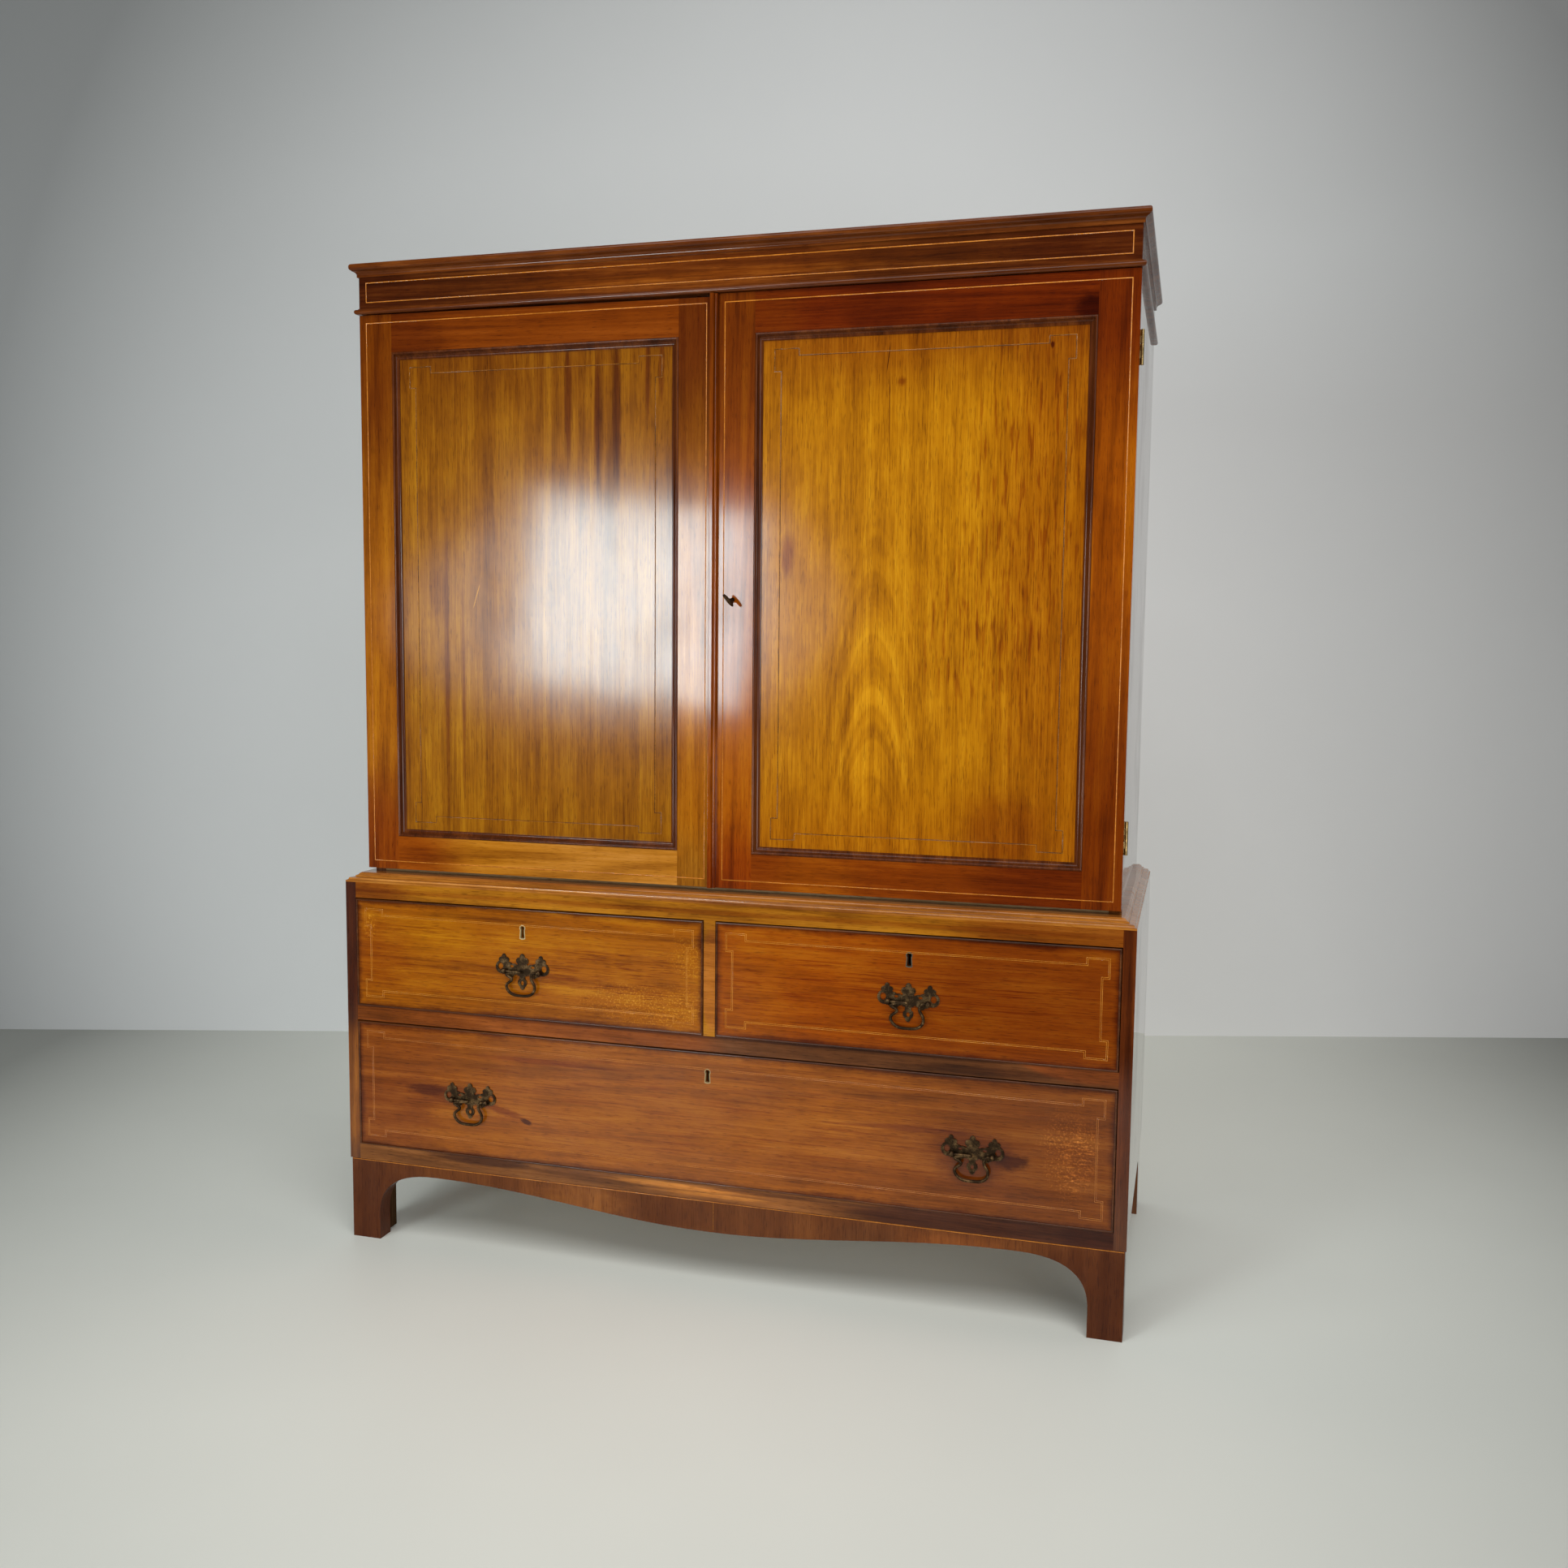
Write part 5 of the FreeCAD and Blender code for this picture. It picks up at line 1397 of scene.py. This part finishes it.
DRAWERS = (
    Drawer(
        "drawer_left",
        ("drawer_left_bail",),
        keyhole=(-0.32255, 0.552),
        rim=(0.5, 0.36, 0.16),
        wood=drawer_wood(
            "drawer_left",
            0.2,
            ((0.14, 0.032, 0.0005), (0.315, 0.085, 0.001), (0.47, 0.17, 0.004)),
            Patch((-0.51, 0.545), (0.07, 0.01), (0.6, 0.42, 0.4), ragged=0.6, flecks=(14.0, 420.0)),
            Patch((-0.605, 0.545), (0.012, 0.02), (1.6, 2.1, 6.0), ragged=0.7, soft=0.8, flecks=(260, 260)),
            Patch((-0.595, 0.495), (0.06, 0.05), (0.78, 0.62, 0.5), soft=1.2),
            Patch((-0.47, 0.54), (0.06, 0.03), (1.15, 1.3, 1.1), soft=1.2),
            Patch((-0.1, 0.466), (0.055, 0.008), (0.55, 0.34, 0.4), ragged=0.8, flecks=(16.0, 420.0)),
            Patch((-0.17, 0.5), (0.13, 0.035), (0.62, 0.46, 0.4), ragged=0.7, flecks=(18.0, 380.0)),
            Patch((-0.4, 0.47), (0.2, 0.035), (0.75, 0.6, 0.5), ragged=0.7, flecks=(10.0, 300.0)),
            Patch((-0.1, 0.45), (0.11, 0.03), (1.5, 1.9, 6.0), ragged=0.8, soft=0.8, flecks=(320.0, 320.0)),
            Patch((-0.035, 0.53), (0.03, 0.03), (1.4, 1.8, 5.0), ragged=0.8, soft=0.8, flecks=(320.0, 320.0)),
        ),
    ),
    Drawer(
        "drawer_right",
        ("drawer_right_bail",),
        keyhole=(0.31795, 0.552),
        rim=(0.1, 0.075, 0.045),
        wood=drawer_wood(
            "drawer_right",
            0.45,
            ((0.14, 0.024, 0.0005), (0.285, 0.056, 0.0008), (0.4, 0.11, 0.003)),
            Patch((0.54, 0.49), (0.24, 0.16), (0.66, 0.6, 0.8), ragged=0.3, soft=1.0),
            Patch((0.07, 0.49), (0.06, 0.12), (1.1, 1.25, 1.2), soft=1.0),
            Patch((0.3, 0.5), (0.3, 0.06), (0.7, 0.52, 0.5), ragged=0.7, flecks=(9.0, 340.0)),
        ),
    ),
    Drawer(
        "drawer_long",
        ("drawer_long_bail_left", "drawer_long_bail_right"),
        keyhole=(-0.0023, 0.342),
        rim=(0.42, 0.3, 0.14),
        wood=drawer_wood(
            "drawer_long",
            0.7,
            ((0.14, 0.033, 0.0015), (0.285, 0.075, 0.004), (0.41, 0.135, 0.01)),
            Patch((-0.5, 0.274), (0.035, 0.008), (0.45, 0.32, 0.25), ragged=0.7),
            Patch((-0.455, 0.268), (0.05, 0.014), (0.62, 0.5, 0.5), ragged=0.7),
            Patch((-0.36, 0.25), (0.035, 0.005), (0.62, 0.44, 0.35), ragged=0.9, turn=-0.2),
            Patch((-0.318, 0.236), (0.01, 0.004), (0.25, 0.18, 0.2), soft=0.6, turn=-0.3),
            Patch((-0.3, 0.34), (0.1, 0.004), (0.72, 0.55, 0.5), ragged=0.8),
            Patch((0.478, 0.257), (0.026, 0.012), (0.34, 0.24, 0.2), ragged=0.7),
            Patch((0.33, 0.292), (0.09, 0.005), (0.6, 0.44, 0.4), ragged=0.7),
            Patch((0.419, 0.262), (0.06, 0.04), (0.66, 0.55, 0.6)),
            Patch((0.54, 0.28), (0.2, 0.22), (0.6, 0.53, 0.75), ragged=0.3, soft=1.2),
            Patch((0.3, 0.22), (0.2, 0.05), (0.88, 0.82, 0.9), soft=1.2),
            Patch((0.575, 0.27), (0.024, 0.05), (1.8, 2.0, 2.6), ragged=0.6, flecks=(60.0, 300.0)),
            Patch((0.565, 0.28), (0.04, 0.065), (1.7, 1.9, 2.4), ragged=0.7, soft=0.8, flecks=(300.0, 300.0)),
            Patch((-0.58, 0.33), (0.12, 0.08), (0.8, 0.7, 0.75), soft=1.0),
            Patch((-0.02, 0.29), (0.6, 0.09), (0.8, 0.66, 0.6), ragged=0.6, flecks=(7.0, 330.0)),
            Patch((-0.58, 0.22), (0.1, 0.06), (0.7, 0.58, 0.6), soft=1.0),
        ),
        line=WORN_LINE,
    ),
)


# ------------------------------------------------------------------- studio


@dataclass(frozen=True)
class Backdrop:
    """A surface of one paint with painted light and shade falling off over it, as a rounded hill of two
    coordinates.
    """

    name: str
    paint: Colour
    level: float
    slope: Spot
    curve: Spot
    twist: float
    across: Spot
    along: Spot
    cloud: tuple[float, float, float]
    swing: float
    darkest: float = 0.42
    palest: float = 1.38

    def colour(self, sheet: ShaderSheet, u: Signal, v: Signal) -> bpy.types.NodeSocket:
        """The paint with its painted falloff of light and shade and a faint cloudiness.

        Args:
            sheet: The surface's sheet.
            u: The first coordinate, which counts within the limits across.
            v: The second coordinate, which counts within the limits along.

        Returns:
            The colour's socket.
        """
        u = u.within(*self.across)
        v = v.within(*self.along)
        straight = u * self.slope[0] + v * self.slope[1] + self.level
        hill = straight + u * u * self.curve[0] + v * v * self.curve[1] + u * v * self.twist
        cloud = sheet.noise(sheet.vector(*sheet.place()), *self.cloud)
        level = hill.within(self.darkest, self.palest) * (cloud * self.swing + (1.0 - self.swing / 2.0))
        return sheet.mix(1.0, sheet.vector(level, level, level), self.paint, "MULTIPLY")


@dataclass
class Lamp:
    """One soft flat lamp."""

    name: str
    place: Point
    aim: Point
    size: Spot
    radiance: float
    tint: Colour = WHITE
    rounded: bool = False
    roll: float = 0.0

    def build(self) -> None:
        """Makes the lamp."""
        data = bpy.data.lights.new(self.name, "AREA")
        data.shape = "ELLIPSE" if self.rounded else "RECTANGLE"
        data.size, data.size_y = self.size
        data.energy = self.radiance * math.pi * self.size[0] * self.size[1]
        data.color = self.tint
        lamp = placed(self.name, data)
        lamp.location = self.place
        facing = (Vector(self.aim) - Vector(self.place)).to_track_quat("-Z", "Y").to_matrix()
        lamp.rotation_euler = (facing @ Matrix.Rotation(self.roll, 3, "Z")).to_euler()


DAYLIGHT: Colour = (0.82, 0.97, 1.0)
HAZE: Colour = (0.97, 0.98, 1.0)
LAMPS = (
    Lamp("window_lamp", (-1.66, -4.0, 1.225), (-1.66, 0.0, 1.225), (1.06, 0.84), 14.8, DAYLIGHT, roll=-0.12),
    Lamp("window_glow", (-1.72, -4.1, 1.22), (-1.72, 0.0, 1.22), (1.9, 1.15), 1.2, HAZE, rounded=True),
    Lamp("window_haze", (-2.02, -4.2, 1.14), (-2.02, 0.0, 1.14), (1.95, 0.92), 1.45, HAZE, rounded=True),
    Lamp("ceiling_lamp", (0.7, -2.6, 3.4), (0.7, -2.6, 0.0), (4.4, 2.8), 2.8),
    Lamp("wall_lamp", (1.1, 0.2, 3.7), (1.1, 1.4, 0.8), (3.0, 0.8), 2.8),
    Lamp("right_lamp", (2.8, -3.3, 1.3), (0.4, 0.0, 0.6), (2.8, 2.4), 1.8),
    Lamp("low_lamp", (1.9, -3.6, 0.35), (0.2, 0.0, 0.1), (2.0, 0.5), 5.0),
    Lamp("low_left_lamp", (-3.6, -3.0, 0.4), (-0.3, 0.0, 0.1), (1.6, 0.5), 12.0),
)


@dataclass
class Studio:
    """Floor, wall, lamps and the room's own dim light."""

    wall_start: Vector = Vector((-2.275, 0.5989, 0.0)).freeze()
    wall_end: Vector = Vector((1.707, 1.8209, 0.0)).freeze()
    wall_height: float = 6.0
    wall_middle: float = 2.0
    reach: float = 9.0
    room_level: float = 0.03
    background_level: float = 0.55
    floor_gloss: float = 0.12
    floor_roughness: float = 0.42
    wall_roughness: float = 0.7
    unlit: Colour = (0.04, 0.04, 0.04)
    lit_edge: float = -1.25
    dark_edge: float = -1.9
    # The floor's paint with painted light and shade falling off across it from a bright middle.
    floor_painted_shading: Backdrop = Backdrop(
        "floor_painted_shading",
        (0.74, 0.755, 0.695),
        level=1.28,
        slope=(-0.03, 0.17),
        curve=(-0.25, -0.08),
        twist=-0.06,
        across=(-2.2, 2.2),
        along=(-1.2, 1.5),
        cloud=(1.7, 3.0, 0.55),
        swing=0.08,
    )
    # The wall's paint with painted shade that darkens it towards its ends and top, lighter to the right.
    wall_painted_shading: Backdrop = Backdrop(
        "wall_painted_shading",
        (0.64, 0.645, 0.64),
        level=1.49,
        slope=(0.18, -0.02),
        curve=(-0.165, -0.074),
        twist=-0.045,
        across=(-2.4, 2.4),
        along=(0.0, 2.9),
        cloud=(1.3, 4.0, 0.6),
        swing=0.06,
    )

    def build(self) -> None:
        """Makes the studio."""
        r = self.reach
        floor_corners = [(-r, -r, 0.0), (r, -r, 0.0), (r, r, 0.0), (-r, r, 0.0)]
        along = self._wall_way() * r
        left = self.wall_start - along
        right = self.wall_start + along
        up = Vector((0.0, 0.0, self.wall_height))
        floor = mesh_piece("studio_floor", floor_corners, faces=[range(4)])
        wall = mesh_piece("studio_wall", [left, right, right + up, left + up], faces=[range(4)])
        floor.data.materials.append(self._floor_finish())
        wall.data.materials.append(self._wall_finish())
        self._light_room()
        for lamp in LAMPS:
            lamp.build()
        LOG.info("studio lit")

    def _wall_way(self) -> Vector:
        """The direction of the wall's base line."""
        return (self.wall_end - self.wall_start).normalized()

    def _floor_finish(self) -> bpy.types.Material:
        """A pale floor with painted light and shade falling off over it, dark in the polish where the unlit
        room would be.

        Returns:
            The material.
        """
        sheet = ShaderSheet(self.floor_painted_shading.name)
        x, y, _ = sheet.place()
        pale = self.floor_painted_shading.colour(sheet, x, y)
        seen = Signal(sheet, sheet.node("ShaderNodeLightPath").outputs["Is Glossy Ray"])
        colour = sheet.mix(y.step(self.lit_edge, self.dark_edge) * seen, pale, self.unlit)
        return sheet.surface(
            {"Base Color": colour, "Roughness": self.floor_roughness, "Specular IOR Level": self.floor_gloss}
        )

    def _wall_finish(self) -> bpy.types.Material:
        """A wall with painted light and shade falling off over it, seen only from its front.

        Returns:
            The material.
        """
        sheet = ShaderSheet(self.wall_painted_shading.name)
        x, y, z = sheet.place()
        way = self._wall_way()
        middle = self.wall_start + way * self.wall_middle
        colour = self.wall_painted_shading.colour(sheet, (x - middle.x) * way.x + (y - middle.y) * way.y, z)
        matt = {"Base Color": colour, "Roughness": self.wall_roughness}
        paint = sheet.node("ShaderNodeBsdfPrincipled", None, matt)
        clear = sheet.node("ShaderNodeBsdfTransparent")
        back = sheet.node("ShaderNodeNewGeometry").outputs["Backfacing"]
        return sheet.close(sheet.node("ShaderNodeMixShader", None, {0: back, 1: paint, 2: clear}))

    def _light_room(self) -> None:
        """Makes the world a dim grey room, paler where the camera looks at it."""
        world = bpy.data.worlds.new("studio_room")
        world.use_nodes = True
        bpy.context.scene.world = world
        sheet = NodeSheet(world.node_tree)
        seen = sheet.node("ShaderNodeLightPath").outputs["Is Camera Ray"]
        levels = {"Value": seen, "To Min": self.room_level, "To Max": self.background_level}
        strength = sheet.node("ShaderNodeMapRange", None, levels)
        ground = sheet.node("ShaderNodeBackground", None, {"Color": WHITE, "Strength": strength})
        sheet.node("ShaderNodeOutputWorld", None, {0: ground})


@dataclass
class Viewpoint:
    """The camera."""

    place: Point = (0.7216, -2.3670, 1.0181)
    yaw: float = math.radians(16.1006)
    pitch: float = math.radians(-5.4168)
    roll: float = math.radians(0.5819)
    lens: float = 32.80
    sensor: float = 36.0

    def build(self) -> None:
        """Makes the camera."""
        level = math.cos(self.pitch)
        forward = Vector((-math.sin(self.yaw) * level, math.cos(self.yaw) * level, math.sin(self.pitch)))
        level_right = forward.cross(Vector((0.0, 0.0, 1.0))).normalized()
        level_up = level_right.cross(forward)
        right = level_right * math.cos(self.roll) + level_up * math.sin(self.roll)
        up = level_up * math.cos(self.roll) - level_right * math.sin(self.roll)
        data = bpy.data.cameras.new("studio_camera")
        data.lens = self.lens
        data.sensor_width = self.sensor
        data.sensor_fit = "HORIZONTAL"
        camera = placed("studio_camera", data)
        turn = Matrix((right, up, -forward)).transposed().to_4x4()
        camera.matrix_world = Matrix.Translation(self.place) @ turn
        bpy.context.scene.camera = camera


def main() -> None:
    """Builds the studio and dresses the press, part by part."""
    logging.basicConfig(level=logging.INFO, format="%(name)s: %(message)s")
    bpy.context.scene.view_settings.view_transform = "Standard"
    Viewpoint().build()
    Studio().build()
    for part in (Carcase(), LEFT_DOOR, RIGHT_DOOR, *DRAWERS):
        part.dress()
        part.inlay()
    ScrewSet().build()


if __name__ == "__main__":
    main()
